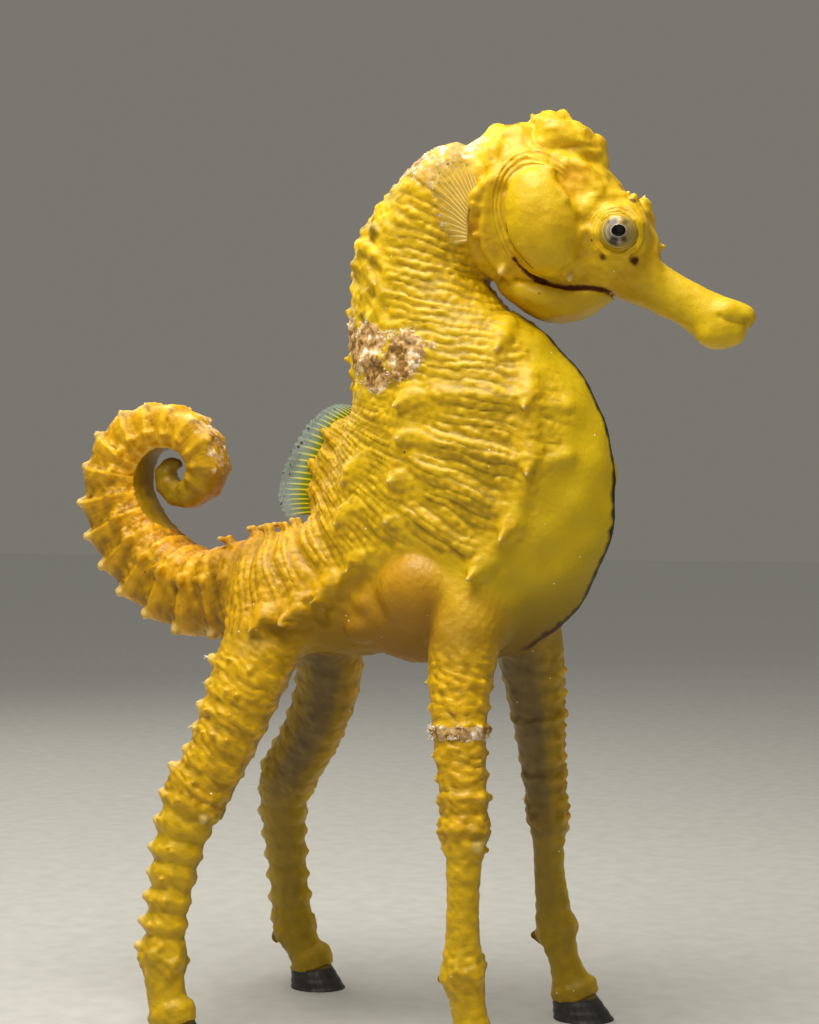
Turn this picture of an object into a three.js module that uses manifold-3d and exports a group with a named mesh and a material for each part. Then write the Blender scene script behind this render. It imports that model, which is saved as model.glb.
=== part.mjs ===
// Four-legged seahorse, standing, as named solid nodes. Units are millimetres, +Z is up, the head
// faces +X, the animal's left side is +Y, and z = 0 is the floor under its hooves.
import * as THREE from 'three';
import { mergeVertices } from 'three/addons/utils/BufferGeometryUtils.js';
import Module from 'manifold-3d';

const wasm = await Module();
wasm.setup();

// ---- driving dimensions -----------------------------------------------------------------------
const GAP = 0.3;                    // clearance left between neighbouring nodes
const HEAD_TURN_DEG = 12;           // the head looks a little to the animal's left
const HEAD_PIVOT_X = 14.9;          // the head frame's t = 0 on the body's centre plane
const EYE_RADIUS = 3.3;
const EYE = { t: 24.5, z: 126.0, y: 6.3 };
const GILL = { t: 13.1, z: 127.8, y: 7.2, length: 5.8, height: 8.4, depth: 3.4, lean: 3 };
const HIP_FRONT_X = 3;              // trunk spines behind here stand beside the thighs
const TAIL_RING_PITCH = 4.7;
const HIP_REACH = 8;                // the tail's first rings carry no spines, beside the hips
const TAIL_RING_DEPTH = 0.06;       // share of the radius that a ring's valley sinks by
const OUTER_CORNER_DEG = 138;       // the tail's ventral corners, on the outside of its coil
const DORSAL_FIN_THICKNESS = 0.6;
const PECTORAL_FIN_THICKNESS = 0.6;
const HOOF_HEIGHT = 4.6;
const WORLD_UP = new THREE.Vector3(0, 0, 1);

// Trunk ribs from the keel's bottom to the neck: back edge, chest edge, half width, and how full the
// section is towards the chest and the back (2 is round, under 2 is keeled).
const TRUNK_RIBS = [
  { a: [15.6, 60.3], b: [19.8, 60.4], half: 1.4, fullA: 2.0, fullB: 2.0 },
  { a: [9.0, 62.0], b: [25.0, 62.4], half: 5.6, fullA: 2.0, fullB: 1.9 },
  { a: [3.0, 65.0], b: [29.2, 65.4], half: 9.0, fullA: 2.0, fullB: 1.8 },
  { a: [-4.0, 69.4], b: [33.7, 69.6], half: 11.6, fullA: 2.1, fullB: 1.75 },
  { a: [-9.4, 75.6], b: [36.9, 75.8], half: 12.8, fullA: 2.1, fullB: 1.7 },
  { a: [-11.2, 82.7], b: [38.3, 80.6], half: 13.2, fullA: 2.1, fullB: 1.7 },
  { a: [-8.6, 90.4], b: [38.9, 88.1], half: 13.0, fullA: 2.1, fullB: 1.7 },
  { a: [-6.4, 95.7], b: [38.0, 94.2], half: 12.6, fullA: 2.1, fullB: 1.7 },
  { a: [-4.6, 101.4], b: [35.7, 100.5], half: 12.0, fullA: 2.1, fullB: 1.75 },
  { a: [-4.9, 107.9], b: [31.7, 106.2], half: 11.0, fullA: 2.1, fullB: 1.8 },
  { a: [-5.2, 112.7], b: [27.2, 110.9], half: 10.0, fullA: 2.1, fullB: 1.9 },
  { a: [-4.8, 119.2], b: [20.9, 115.9], half: 9.0, fullA: 2.1, fullB: 2.0 },
  { a: [-3.9, 127.0], b: [17.8, 120.4], half: 8.2, fullA: 2.1, fullB: 2.0 },
  { a: [2.9, 135.4], b: [17.4, 126.8], half: 7.6, fullA: 2.1, fullB: 2.0 },
  { a: [8.4, 140.0], b: [19.0, 131.0], half: 7.2, fullA: 2.1, fullB: 2.0 },
  { a: [13.4, 141.4], b: [21.0, 134.0], half: 6.4, fullA: 2.1, fullB: 2.0 },
];
// Rump ribs from inside the trunk back to the tail: top edge, bottom edge, half width.
const RUMP_RIBS = [
  { a: [10.0, 86.0], b: [8.0, 64.0], half: 10.4, fullA: 2.2, fullB: 2.2 },
  { a: [-2.0, 85.4], b: [-2.6, 60.2], half: 11.0, fullA: 2.3, fullB: 2.3 },
  { a: [-9.6, 82.9], b: [-9.2, 60.6], half: 10.6, fullA: 2.5, fullB: 2.5 },
  { a: [-15.4, 80.2], b: [-15.0, 61.4], half: 9.8, fullA: 2.7, fullB: 2.7 },
  { a: [-21.5, 78.6], b: [-21.5, 61.9], half: 9.0, fullA: 2.9, fullB: 2.9 },
];
const RUMP_END_X = -19.6;           // where the rump stops and the tail starts
// Tail stations: x, z, half depth in the coil's plane, half width, y. The tip coils to the left a
// little, so that the turns clear one another.
const TAIL = [
  [-19.6, 70.3, 8.6, 9.0, 0], [-26.5, 70.1, 7.8, 8.1, 0], [-32.2, 69.6, 7.0, 7.2, 0],
  [-37.2, 70.8, 6.7, 6.7, 0], [-42.2, 73.6, 6.4, 6.3, 0], [-46.3, 77.6, 6.1, 5.9, 0],
  [-49.2, 82.2, 5.8, 5.5, 0], [-50.5, 87.2, 5.4, 5.1, 0], [-49.6, 92.2, 5.0, 4.8, 0],
  [-46.5, 96.0, 4.6, 4.4, 0], [-42.0, 97.5, 4.2, 4.0, 0], [-36.8, 95.8, 3.7, 3.6, 0],
  [-33.7, 91.3, 3.0, 3.1, 0.2], [-34.9, 86.9, 2.6, 2.6, 0.4], [-38.0, 85.5, 2.1, 2.2, 0.6],
  [-40.7, 87.2, 1.7, 1.8, 0.8], [-40.9, 90.0, 1.3, 1.4, 1.0], [-39.1, 91.3, 0.9, 1.0, 1.1],
  [-37.8, 90.4, 0.6, 0.6, 1.2],
];
const TAIL_CUTS = [0, 0.17, 0.33, 0.49, 0.66, 0.83, 1];
// Legs: joint stations from the body down to the hoof's crown, as x, y, z and radius.
const LEGS = {
  front_right: {
    path: [[17.6, -8.0, 69.0, 6.6], [18.3, -10.6, 64.2, 5.9], [18.8, -13.0, 55.0, 4.8], [19.8, -14.9, 47.0, 4.1],
      [20.9, -16.3, 40.8, 3.8], [21.5, -17.2, 35.8, 4.0], [21.7, -18.0, 31.4, 2.9], [21.8, -18.6, 25.8, 2.6],
      [22.0, -19.2, 20.0, 2.8], [22.3, -19.6, 15.6, 3.4], [23.2, -20.0, 10.8, 2.7], [24.2, -20.4, 7.0, 2.9],
      [24.9, -20.6, HOOF_HEIGHT, 3.7]],
    sole: [26.6, -20.7, 4.6], knee: 5, fetlock: 9,
  },
  front_left: {
    path: [[20.0, 8.0, 68.0, 6.4], [20.9, 10.4, 61.5, 5.6], [21.2, 13.0, 51.6, 4.5], [21.3, 15.0, 42.6, 3.7],
      [21.5, 16.2, 37.4, 3.5], [21.6, 16.9, 33.4, 3.6], [21.5, 17.4, 29.2, 2.8], [21.4, 17.9, 24.3, 2.7],
      [21.8, 18.5, 18.8, 3.0], [22.2, 18.9, 14.8, 3.4], [23.3, 19.4, 10.0, 2.6], [24.2, 19.7, 6.8, 3.0],
      [24.8, 19.9, HOOF_HEIGHT, 3.7]],
    sole: [26.7, 20.1, 4.7], knee: 5, fetlock: 9,
  },
  hind_right: {
    path: [[-15.4, -5.6, 71.0, 7.6], [-16.9, -9.8, 62.4, 6.6], [-18.4, -12.3, 56.0, 6.2], [-20.2, -14.0, 49.6, 5.6],
      [-22.8, -15.7, 43.2, 5.2], [-25.6, -17.0, 37.8, 5.2], [-27.0, -18.5, 32.0, 4.4], [-27.6, -19.8, 25.4, 3.5],
      [-28.2, -20.8, 18.6, 3.2], [-28.4, -21.2, 13.0, 3.6], [-27.9, -21.6, 9.2, 3.2], [-27.2, -21.8, 6.4, 3.2],
      [-26.6, -21.9, HOOF_HEIGHT, 3.6]],
    sole: [-25.4, -21.9, 4.3], knee: 5, fetlock: 9,
  },
  hind_left: {
    path: [[-14.0, 5.6, 69.0, 7.0], [-15.4, 9.8, 60.4, 5.8], [-16.2, 11.6, 55.0, 5.3], [-18.4, 13.0, 49.2, 5.2],
      [-22.0, 14.6, 43.0, 5.2], [-26.0, 15.8, 37.6, 5.3], [-27.8, 17.2, 31.8, 4.3], [-28.2, 18.8, 23.8, 3.6],
      [-28.0, 19.7, 16.6, 3.4], [-27.5, 20.3, 10.6, 3.7], [-26.2, 20.6, 7.6, 3.2], [-25.2, 20.8, 5.8, 3.3],
      [-24.6, 20.9, HOOF_HEIGHT, 3.6]],
    sole: [-22.9, 20.9, 4.5], knee: 5, fetlock: 9,
  },
};
// Head ribs in the head's own frame (t forward, z up): top edge, bottom edge, half width.
const SKULL_RIBS = [
  { a: [-3.0, 137.6], b: [-1.5, 126.6], half: 5.6, fullA: 2.2, fullB: 2.2 },
  { a: [0.6, 141.2], b: [2.4, 121.6], half: 7.8, fullA: 2.2, fullB: 2.2 },
  { a: [5.0, 143.0], b: [6.2, 119.4], half: 9.0, fullA: 2.2, fullB: 2.3 },
  { a: [10.0, 143.3], b: [11.4, 117.6], half: 9.3, fullA: 2.1, fullB: 2.3 },
  { a: [15.5, 141.6], b: [16.0, 116.9], half: 8.8, fullA: 2.1, fullB: 2.3 },
  { a: [20.6, 138.0], b: [20.6, 116.8], half: 7.8, fullA: 2.1, fullB: 2.3 },
  { a: [24.2, 133.4], b: [24.4, 116.6], half: 6.6, fullA: 2.2, fullB: 2.3 },
  { a: [27.6, 130.0], b: [27.4, 115.6], half: 5.2, fullA: 2.2, fullB: 2.2 },
  { a: [29.8, 125.6], b: [30.0, 114.2], half: 3.6, fullA: 2.0, fullB: 2.0 },
];
const SNOUT_RIBS = [
  { a: [25.0, 123.4], b: [24.0, 116.4], half: 3.6 }, { a: [29.6, 121.8], b: [28.4, 114.5], half: 3.6 },
  { a: [33.0, 119.9], b: [31.4, 112.8], half: 3.3 }, { a: [36.1, 118.1], b: [34.2, 111.0], half: 3.2 },
  { a: [38.6, 116.7], b: [36.4, 108.9], half: 3.5 }, { a: [40.8, 115.8], b: [38.8, 108.2], half: 3.5 },
  { a: [42.5, 115.1], b: [41.2, 108.9], half: 2.9 }, { a: [43.7, 114.2], b: [42.7, 110.4], half: 1.9 },
  { a: [44.1, 113.6], b: [43.4, 111.8], half: 0.8 },
];
const THROAT_RIBS = [
  { a: [4.4, 119.6], b: [4.6, 117.6], half: 2.6 }, { a: [7.2, 120.0], b: [7.2, 115.7], half: 4.8 },
  { a: [10.4, 120.0], b: [10.4, 113.6], half: 6.0 }, { a: [13.7, 120.0], b: [13.7, 112.7], half: 6.4 },
  { a: [17.5, 120.0], b: [17.5, 113.2], half: 5.9 }, { a: [20.6, 120.0], b: [20.6, 114.7], half: 4.9 },
  { a: [23.4, 119.0], b: [23.2, 116.6], half: 3.0 },
];
const CORONET_RIBS = [
  { a: [9.4, 143.8], b: [9.6, 139.0], half: 1.3 }, { a: [10.8, 145.6], b: [11.0, 138.6], half: 2.7 },
  { a: [13.0, 145.9], b: [13.2, 138.2], half: 3.7 }, { a: [16.0, 144.6], b: [16.0, 137.4], half: 4.1 },
  { a: [18.8, 142.2], b: [18.6, 136.4], half: 3.6 }, { a: [20.8, 139.9], b: [20.2, 135.6], half: 2.4 },
  { a: [21.6, 138.2], b: [21.2, 136.0], half: 1.1 },
];
// Fin outlines: the outer margin and the line the fin grows from.
const DORSAL_FIN = {
  base: [[-4.0, 99.4], [-5.6, 96.6], [-7.6, 91.8], [-9.4, 86.6], [-10.8, 82.6]],
  margin: [[-18.0, 82.2], [-19.3, 86.6], [-17.6, 91.9], [-14.0, 97.4], [-10.2, 100.3], [-7.3, 100.8]],
  rays: 6,
};
const PECTORAL_FIN = {
  base: [[2.6, 124.8], [4.2, 127.6], [4.6, 130.6], [3.6, 133.6]],
  margin: [[1.2, 137.2], [-1.8, 137.6], [-3.6, 135.2], [-4.0, 131.4], [-3.0, 127.2], [-0.4, 124.6]],
  rays: 4, splay: 14,
};

const COLOURS = {
  body: 0xe0b61a, neck: 0xd8b220, head: 0xe8c41c, belly: 0xd79c2c, snout: 0xe2bd22, crown: 0xd2ab1f,
  tail: 0xdca21c, leg: 0xd9a91e, hoof: 0x35322e, eye: 0x2a2118, fin: 0xc8c24a, gill: 0xedca2a,
};

// ---- building blocks --------------------------------------------------------------------------
const { Manifold, Mesh } = wasm;

/** A closed geometry as a manifold solid, its vertices merged first. */
function solidOf(geometry) {
  geometry.deleteAttribute('uv');
  geometry.deleteAttribute('normal');
  const merged = mergeVertices(geometry, 1e-4);
  return new Manifold(new Mesh({
    numProp: 3,
    vertProperties: new Float32Array(merged.attributes.position.array),
    triVerts: new Uint32Array(merged.index.array),
  }));
}

/** Radius of a superellipse section at an angle from its depth axis. */
function sectionRadius(angle, depth, width, full) {
  const c = Math.abs(Math.cos(angle)) / depth, s = Math.abs(Math.sin(angle)) / width;
  return (c ** full + s ** full) ** (-1 / full);
}

/** Bend a closed cylinder so that each of its rings becomes the section that frameAt gives. */
function bend(radial, steps, frameAt) {
  const geometry = new THREE.CylinderGeometry(1, 1, 1, radial, steps, false);
  const place = geometry.attributes.position;
  const point = new THREE.Vector3();
  for (let i = 0; i < place.count; i += 1) {
    point.fromBufferAttribute(place, i);
    const { centre, depthAxis, widthAxis, depth, width, fullA = 2, fullB = 2 } = frameAt(0.5 - point.y);
    const angle = Math.atan2(point.x, point.z), reach = Math.hypot(point.x, point.z);
    const radius = reach * sectionRadius(angle, depth, width, Math.cos(angle) > 0 ? fullB : fullA);
    point.copy(centre).addScaledVector(depthAxis, radius * Math.cos(angle));
    point.addScaledVector(widthAxis, radius * Math.sin(angle));
    place.setXYZ(i, point.x, point.y, point.z);
  }
  return solidOf(geometry);
}

/** A smooth curve through numbers given three at a time. */
const curveOf = (rows) => new THREE.CatmullRomCurve3(rows.map((row) => new THREE.Vector3(...row)), false, 'catmullrom', 0.5);

/** A body stretched over flat ribs, each running from edge a to edge b in the XZ plane. */
function ribbed(ribs, { radial = 24, steps = 2 * (ribs.length - 1), grow = 0 } = {}) {
  const edgeA = curveOf(ribs.map(({ a }) => [a[0], 0, a[1]]));
  const edgeB = curveOf(ribs.map(({ b }) => [b[0], 0, b[1]]));
  const shape = curveOf(ribs.map(({ half, fullA = 2.1, fullB = 2.1 }) => [half, fullA, fullB]));
  const middle = (u) => edgeA.getPoint(u).add(edgeB.getPoint(u)).multiplyScalar(0.5);
  return bend(radial, steps, (u) => {
    const [a, b, form] = [edgeA.getPoint(u), edgeB.getPoint(u), shape.getPoint(u)];
    const depthAxis = b.clone().sub(a).normalize();
    const along = middle(Math.min(1, u + 0.01)).sub(middle(Math.max(0, u - 0.01)));
    const widthAxis = depthAxis.clone().cross(along).normalize();
    return {
      centre: middle(u), depthAxis, widthAxis, depth: a.distanceTo(b) / 2 + grow,
      width: Math.max(0.3, form.x) + grow, fullA: form.y, fullB: form.z,
    };
  });
}

/** A reader of a ribbed body's half width at a place on its side, 0 where the place is off the body. */
function ribReader(ribs) {
  const edgeA = curveOf(ribs.map(({ a }) => [a[0], 0, a[1]]));
  const edgeB = curveOf(ribs.map(({ b }) => [b[0], 0, b[1]]));
  const shape = curveOf(ribs.map(({ half, fullA, fullB }) => [half, fullA, fullB]));
  return (x, z) => {
    let best = 0;
    for (let i = 0, before = null; i <= 200; i += 1) {
      const a = edgeA.getPoint(i / 200), b = edgeB.getPoint(i / 200), form = shape.getPoint(i / 200);
      const across = (b.x - a.x) * (z - a.z) - (b.z - a.z) * (x - a.x);
      if (before !== null && across * before <= 0) {
        const span = a.distanceTo(b);
        const share = Math.min(1, Math.abs((2 * ((x - a.x) * (b.x - a.x) + (z - a.z) * (b.z - a.z))) / span ** 2 - 1));
        const full = (x - a.x) * (b.x - a.x) + (z - a.z) * (b.z - a.z) > span ** 2 / 2 ? form.z : form.y;
        best = Math.max(best, form.x * (1 - share ** full) ** (1 / full));
      }
      before = across;
    }
    return best;
  };
}

/** Spine and size of a limb or tail, read at a share of its length. */
function limb(stations, levelAxis = new THREE.Vector3(0, 1, 0)) {
  const spine = new THREE.CatmullRomCurve3(stations.map(({ at }) => new THREE.Vector3(...at)), false, 'catmullrom', 0.5);
  spine.arcLengthDivisions = 400;
  const girth = curveOf(stations.map(({ depth, width }) => [depth, width, 0]));
  return {
    length: spine.getLength(),
    lengths: spine.getLengths(400),
    frameAt(share) {
      const t = spine.getUtoTmapping(share);
      const along = spine.getTangent(t), size = girth.getPoint(t);
      const widthAxis = levelAxis.clone().addScaledVector(along, -levelAxis.dot(along)).normalize().negate();
      return {
        centre: spine.getPoint(t), along, widthAxis, depthAxis: along.clone().cross(widthAxis),
        depth: size.x, width: size.y,
      };
    },
  };
}

/** One length of a limb, from share u0 to share u1. */
function limbLength(form, u0, u1, { radial = 14, steps = 6, grow = 0, full = 2, ring = () => 1 } = {}) {
  return bend(radial, steps, (v) => {
    const share = THREE.MathUtils.lerp(u0, u1, v);
    const frame = form.frameAt(share);
    const swell = ring(share, v);
    return { ...frame, depth: frame.depth * swell + grow, width: frame.width * swell + grow, fullA: full, fullB: full };
  });
}

/** An ellipsoid with its own half sizes, leaned about Y by some degrees. */
function ellipsoid(centre, halves, { across = 20, around = 12, lean = 0 } = {}) {
  const geometry = new THREE.SphereGeometry(1, across, around);
  geometry.rotateX(Math.PI / 2);
  geometry.scale(...halves);
  geometry.rotateY(THREE.MathUtils.degToRad(lean));
  geometry.translate(...centre);
  return solidOf(geometry);
}

/** A small spine standing at a point and pointing along a direction, its foot sunk below the skin. */
function spineCone(foot, direction, height, radius, { sink = 0.8, sides = 3 } = {}) {
  const geometry = new THREE.ConeGeometry(radius, height + sink, sides, 1, false);
  geometry.translate(0, (height - sink) / 2, 0);
  geometry.applyQuaternion(new THREE.Quaternion().setFromUnitVectors(new THREE.Vector3(0, 1, 0), direction.clone().normalize()));
  geometry.translate(foot.x, foot.y, foot.z);
  return solidOf(geometry);
}

/** The half space on the side of a plane that its normal points to, as a large block. */
function halfSpace(point, normal, offset = 0) {
  const size = 400;
  const geometry = new THREE.BoxGeometry(size, size, size);
  geometry.translate(0, 0, size / 2 + offset);
  geometry.applyQuaternion(new THREE.Quaternion().setFromUnitVectors(WORLD_UP, normal.clone().normalize()));
  geometry.translate(point.x, point.y, point.z);
  return solidOf(geometry);
}

/** Turn a solid built in the head's frame to where the head looks. */
function intoHead(solid) {
  const turn = new THREE.Matrix4().makeRotationZ(THREE.MathUtils.degToRad(HEAD_TURN_DEG));
  return solid.transform(turn.premultiply(new THREE.Matrix4().makeTranslation(HEAD_PIVOT_X, 0, 0)).elements);
}

/** A point on a ribbed or round body's skin, with the outward direction there. */
function onSection(frame, angle, full = 2) {
  const radius = sectionRadius(angle, frame.depth, frame.width, full);
  const out = frame.depthAxis.clone().multiplyScalar(Math.cos(angle)).addScaledVector(frame.widthAxis, Math.sin(angle));
  return { foot: frame.centre.clone().addScaledVector(out, radius), out };
}

/** A fan-shaped fin plate in the XZ plane with thicker rays, centred on y = 0. */
function finPlate({ base, margin, rays }, thickness) {
  const shape = new THREE.Shape(base.map(([x, z]) => new THREE.Vector2(x, z)));
  shape.splineThru(margin.map(([x, z]) => new THREE.Vector2(x, z)));
  shape.closePath();
  const geometry = new THREE.ExtrudeGeometry(shape, { depth: thickness, bevelEnabled: false, curveSegments: 2 });
  geometry.translate(0, 0, -thickness / 2);
  geometry.rotateX(Math.PI / 2);
  let plate = solidOf(geometry);
  const foot = curveOf(base.map(([x, z]) => [x, 0, z]));
  const rim = curveOf([...margin].reverse().map(([x, z]) => [x, 0, z]));
  for (let i = 0; i < rays; i += 1) {
    const share = (i + 0.5) / rays;
    const start = foot.getPoint(share), end = rim.getPoint(share);
    const ray = end.clone().sub(start);
    plate = plate.add(spineCone(start, ray, ray.length() * 0.96, thickness * 1.1, { sink: 0.4 }));
  }
  return plate;
}

// ---- nodes --------------------------------------------------------------------------------------
const group = new THREE.Group();

/** Add a solid to the group as one named mesh. */
function node(name, solid, colour, roughness = 0.55) {
  const { vertProperties, triVerts, numProp } = solid.getMesh();
  const positions = new Float32Array((vertProperties.length / numProp) * 3);
  for (let i = 0; i < positions.length / 3; i += 1) {
    for (let k = 0; k < 3; k += 1) positions[3 * i + k] = vertProperties[numProp * i + k];
  }
  const geometry = new THREE.BufferGeometry();
  geometry.setAttribute('position', new THREE.BufferAttribute(positions, 3));
  geometry.setIndex(new THREE.BufferAttribute(new Uint32Array(triVerts), 1));
  geometry.computeVertexNormals();
  const mesh = new THREE.Mesh(geometry, new THREE.MeshStandardMaterial({ color: colour, roughness, metalness: 0 }));
  mesh.name = name;
  group.add(mesh);
}

const point = (x, y, z) => new THREE.Vector3(x, y, z);
const inHeadFrame = (t, y, z) => point(t, y, z).applyAxisAngle(WORLD_UP, THREE.MathUtils.degToRad(HEAD_TURN_DEG))
  .add(point(HEAD_PIVOT_X, 0, 0));

// Trunk and neck: one ribbed body, cut across the shoulders; the rump is joined to the trunk.
const torso = ribbed(TRUNK_RIBS, { radial: 18, steps: 18 });
const torsoGrown = ribbed(TRUNK_RIBS, { radial: 18, steps: 18, grow: GAP });
const rump = ribbed(RUMP_RIBS, { radial: 16, steps: 5 });
let torsoCutter = torsoGrown.add(ribbed(RUMP_RIBS, { radial: 16, steps: 5, grow: GAP }));
const shoulder = TRUNK_RIBS[11];
const shoulderPoint = point(shoulder.a[0], 0, shoulder.a[1]);
const shoulderNormal = point(-(shoulder.b[1] - shoulder.a[1]), 0, shoulder.b[0] - shoulder.a[0]);
const napePoint = inHeadFrame(0.6, 0, 131);
const napeNormal = point(0.95, 0, 0.32).applyAxisAngle(WORLD_UP, THREE.MathUtils.degToRad(HEAD_TURN_DEG));

const FIN_MOUND = { centre: [-8.6, 0, 90.2], halves: [3.8, 2.6, 8.6], lean: 17 };
const finMound = (grow) => ellipsoid(FIN_MOUND.centre, FIN_MOUND.halves.map((h) => h + grow),
  { across: 10, around: 8, lean: FIN_MOUND.lean });

let trunk = torso.subtract(halfSpace(shoulderPoint, shoulderNormal, 0)).add(rump).add(finMound(0));
trunk = trunk.subtract(halfSpace(point(RUMP_END_X, 0, 70), point(-1, 0, 0), 0));
let neck = torso.intersect(halfSpace(shoulderPoint, shoulderNormal, GAP)).subtract(halfSpace(napePoint, napeNormal, 0));

// Spines of the trunk's side ridges: x, z, height and foot radius, the same on both sides.
const TRUNK_SPINES = [
  [23.1, 108.5, 1.6, 1.5], [27.2, 99.6, 1.8, 1.6], [28.6, 89.6, 2.2, 1.7], [25.6, 79.6, 2.6, 1.8], [20.6, 73.8, 2.6, 1.8],
  [6.6, 100.7, 2.6, 1.9], [9.2, 94.9, 2.0, 1.5], [7.9, 88.3, 2.0, 1.6], [-2.2, 87.1, 1.8, 1.5],
  [0.6, 74.4, 2.2, 1.8], [-5.0, 71.8, 2.4, 1.8], [-11.8, 67.0, 2.4, 1.8],
];
const trunkForms = [TRUNK_RIBS, RUMP_RIBS].map(ribReader);
for (const [x, z, height, radius] of TRUNK_SPINES) {
  for (const side of [-1, 1]) {
    const reach = Math.max(...trunkForms.map((halfWidthAt) => halfWidthAt(x, z)));
    const foot = point(x, side * reach, z), out = point(0, side, -0.25);
    trunk = trunk.add(spineCone(foot, out, height, radius, { sink: 1.4 }));
    if (x < HIP_FRONT_X) torsoCutter = torsoCutter.add(spineCone(foot, out, height + 2 * GAP, radius + 1.5 * GAP, { sink: 1.4 }));
  }
}
for (const [x, z, height] of [[-5.6, 115.2, 1.6], [-5.0, 107.6, 2.2], [-4.6, 102.4, 1.4]]) {
  trunk = trunk.add(spineCone(point(x + 0.6, 0, z), point(-1, 0, 0.25), height, 1.6, { sink: 1.6 }));
}

// Brood pouch: a rounded bag under the belly, between the pairs of legs.
const POUCH = { centre: [6.6, 0, 68.0], halves: [11.4, 13.5, 9.3] };
let pouch = ellipsoid(POUCH.centre, POUCH.halves, { across: 14, around: 9, lean: 8 });

// Tail: square-sectioned ringed lengths.
const tail = limb(TAIL.map(([x, z, depth, width, y]) => ({ at: [x, y, z], depth, width })));
const tailFull = 3.0;
const tailSpine = (share, angle, height, radius) => {
  const { foot, out } = onSection(tail.frameAt(share), THREE.MathUtils.degToRad(angle), tailFull);
  return spineCone(foot, out, height, radius, { sink: 0.9 });
};
TAIL_CUTS.slice(1).forEach((end, i) => {
  const start = TAIL_CUTS[i];
  const slit = GAP / tail.length;
  const u0 = start + (i === 0 ? slit : slit / 2), u1 = end - (end < 1 ? slit / 2 : 0);
  const pitch = i < 4 ? TAIL_RING_PITCH : TAIL_RING_PITCH * (i < 5 ? 0.75 : 0.6);
  const rings = Math.max(3, Math.round(((u1 - u0) * tail.length) / pitch));
  const ring = (share, v) => 1 - TAIL_RING_DEPTH * 0.5 * (1 + Math.cos(2 * Math.PI * v * rings));
  let length = limbLength(tail, u0, u1, { radial: 8, steps: 2 * rings, full: tailFull, ring });
  for (let k = 0; k < rings && i < 4; k += 1) {
    const share = u0 + ((k + 0.5) / rings) * (u1 - u0);
    const size = tail.frameAt(share).depth;
    if (share * tail.length < HIP_REACH) continue;
    for (const angle of [OUTER_CORNER_DEG, -OUTER_CORNER_DEG]) {
      length = length.add(tailSpine(share, angle, size * 0.2, size * 0.2));
    }
    if (i < 1) {
      for (const angle of [180 - OUTER_CORNER_DEG, OUTER_CORNER_DEG - 180]) {
        length = length.add(tailSpine(share, angle, size * 0.13, size * 0.16));
      }
    }
  }
  node(`tail_${i + 1}`, length, COLOURS.tail);
});

// Legs: upper leg, cannon, pastern and hoof, with rings of small spines down the hind edge.
const LEG_SPINES = {
  front: { pitch: 3.6, from: 0.2, to: 0.5, angles: [28, -28], height: 0.8, radius: 0.9 },
  hind: { pitch: 4.4, from: 0.18, to: 0.84, angles: [34, -34], height: 1.2, radius: 1.1 },
};
const tailRoot = limbLength(tail, 0, TAIL_CUTS[1], { radial: 8, steps: 8, grow: GAP, full: tailFull });
for (const [name, { path, sole, knee, fetlock }] of Object.entries(LEGS)) {
  const last = path.at(-1);
  const below = last.map((value, i) => value + 0.5 * (i < 2 ? sole[i] - value : 0) - (i === 2 ? 1.5 : 0));
  const stations = [...path, below].map(([x, y, z, r]) => ({ at: [x, y, z], depth: r * 1.04, width: r * 0.96 }));
  const leg = limb(stations);
  const shareOf = (index) => {
    const lengths = leg.lengths;
    return lengths[Math.round(((lengths.length - 1) * index) / (stations.length - 1))] / leg.length;
  };
  const slit = GAP / leg.length / 2;
  const cuts = { upper: [0, shareOf(knee) - slit], cannon: [shareOf(knee) + slit, shareOf(fetlock) - slit] };
  const { pitch, from, to, angles, height, radius } = LEG_SPINES[name.split('_')[0]];
  const hoofTop = halfSpace(point(0, 0, HOOF_HEIGHT), point(0, 0, -1), 0);
  for (const [part, [u0, u1]] of Object.entries({ ...cuts, pastern: [shareOf(fetlock) + slit, 1] })) {
    let piece = limbLength(leg, u0, u1, { radial: 10, steps: { upper: 8, cannon: 6, pastern: 4 }[part] });
    for (let share = from; share < to; share += pitch / leg.length) {
      if (share < u0 + 1.6 * slit || share > u1 - 8 * slit || part === 'pastern') continue;
      for (const angle of angles) {
        const { foot, out } = onSection(leg.frameAt(share), THREE.MathUtils.degToRad(angle));
        piece = piece.add(spineCone(foot, out, height, radius, { sink: 0.6 }));
      }
    }
    if (part === 'upper') {
      pouch = pouch.subtract(limbLength(leg, u0, u1, { radial: 10, steps: 8, grow: GAP }));
      piece = piece.subtract(torsoCutter).subtract(tailRoot);
    }
    if (part === 'pastern') piece = piece.subtract(hoofTop);
    node(`${part}_${name}`, piece, COLOURS.leg);
  }
  const hoof = bend(14, 1, (v) => ({
    centre: point(
      THREE.MathUtils.lerp(last[0] + 0.2, sole[0], v), THREE.MathUtils.lerp(last[1], sole[1], v),
      THREE.MathUtils.lerp(HOOF_HEIGHT - GAP, 0, v),
    ),
    depthAxis: point(1, 0, 0), widthAxis: point(0, 1, 0),
    depth: THREE.MathUtils.lerp(last[3] * 1.02, sole[2] * 1.06, v),
    width: THREE.MathUtils.lerp(last[3] * 0.94, sole[2] * 0.94, v), fullA: 2.3, fullB: 1.9,
  }));
  node(`hoof_${name}`, hoof, COLOURS.hoof, 0.4);
}
// The pouch bulges out of the belly, so it takes its own space out of the trunk.
const pouchCutter = ellipsoid(POUCH.centre, POUCH.halves.map((h) => h + GAP), { across: 14, around: 9, lean: 8 });
node('trunk', trunk.subtract(pouchCutter), COLOURS.body);
node('brood_pouch', pouch, COLOURS.belly);

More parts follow.
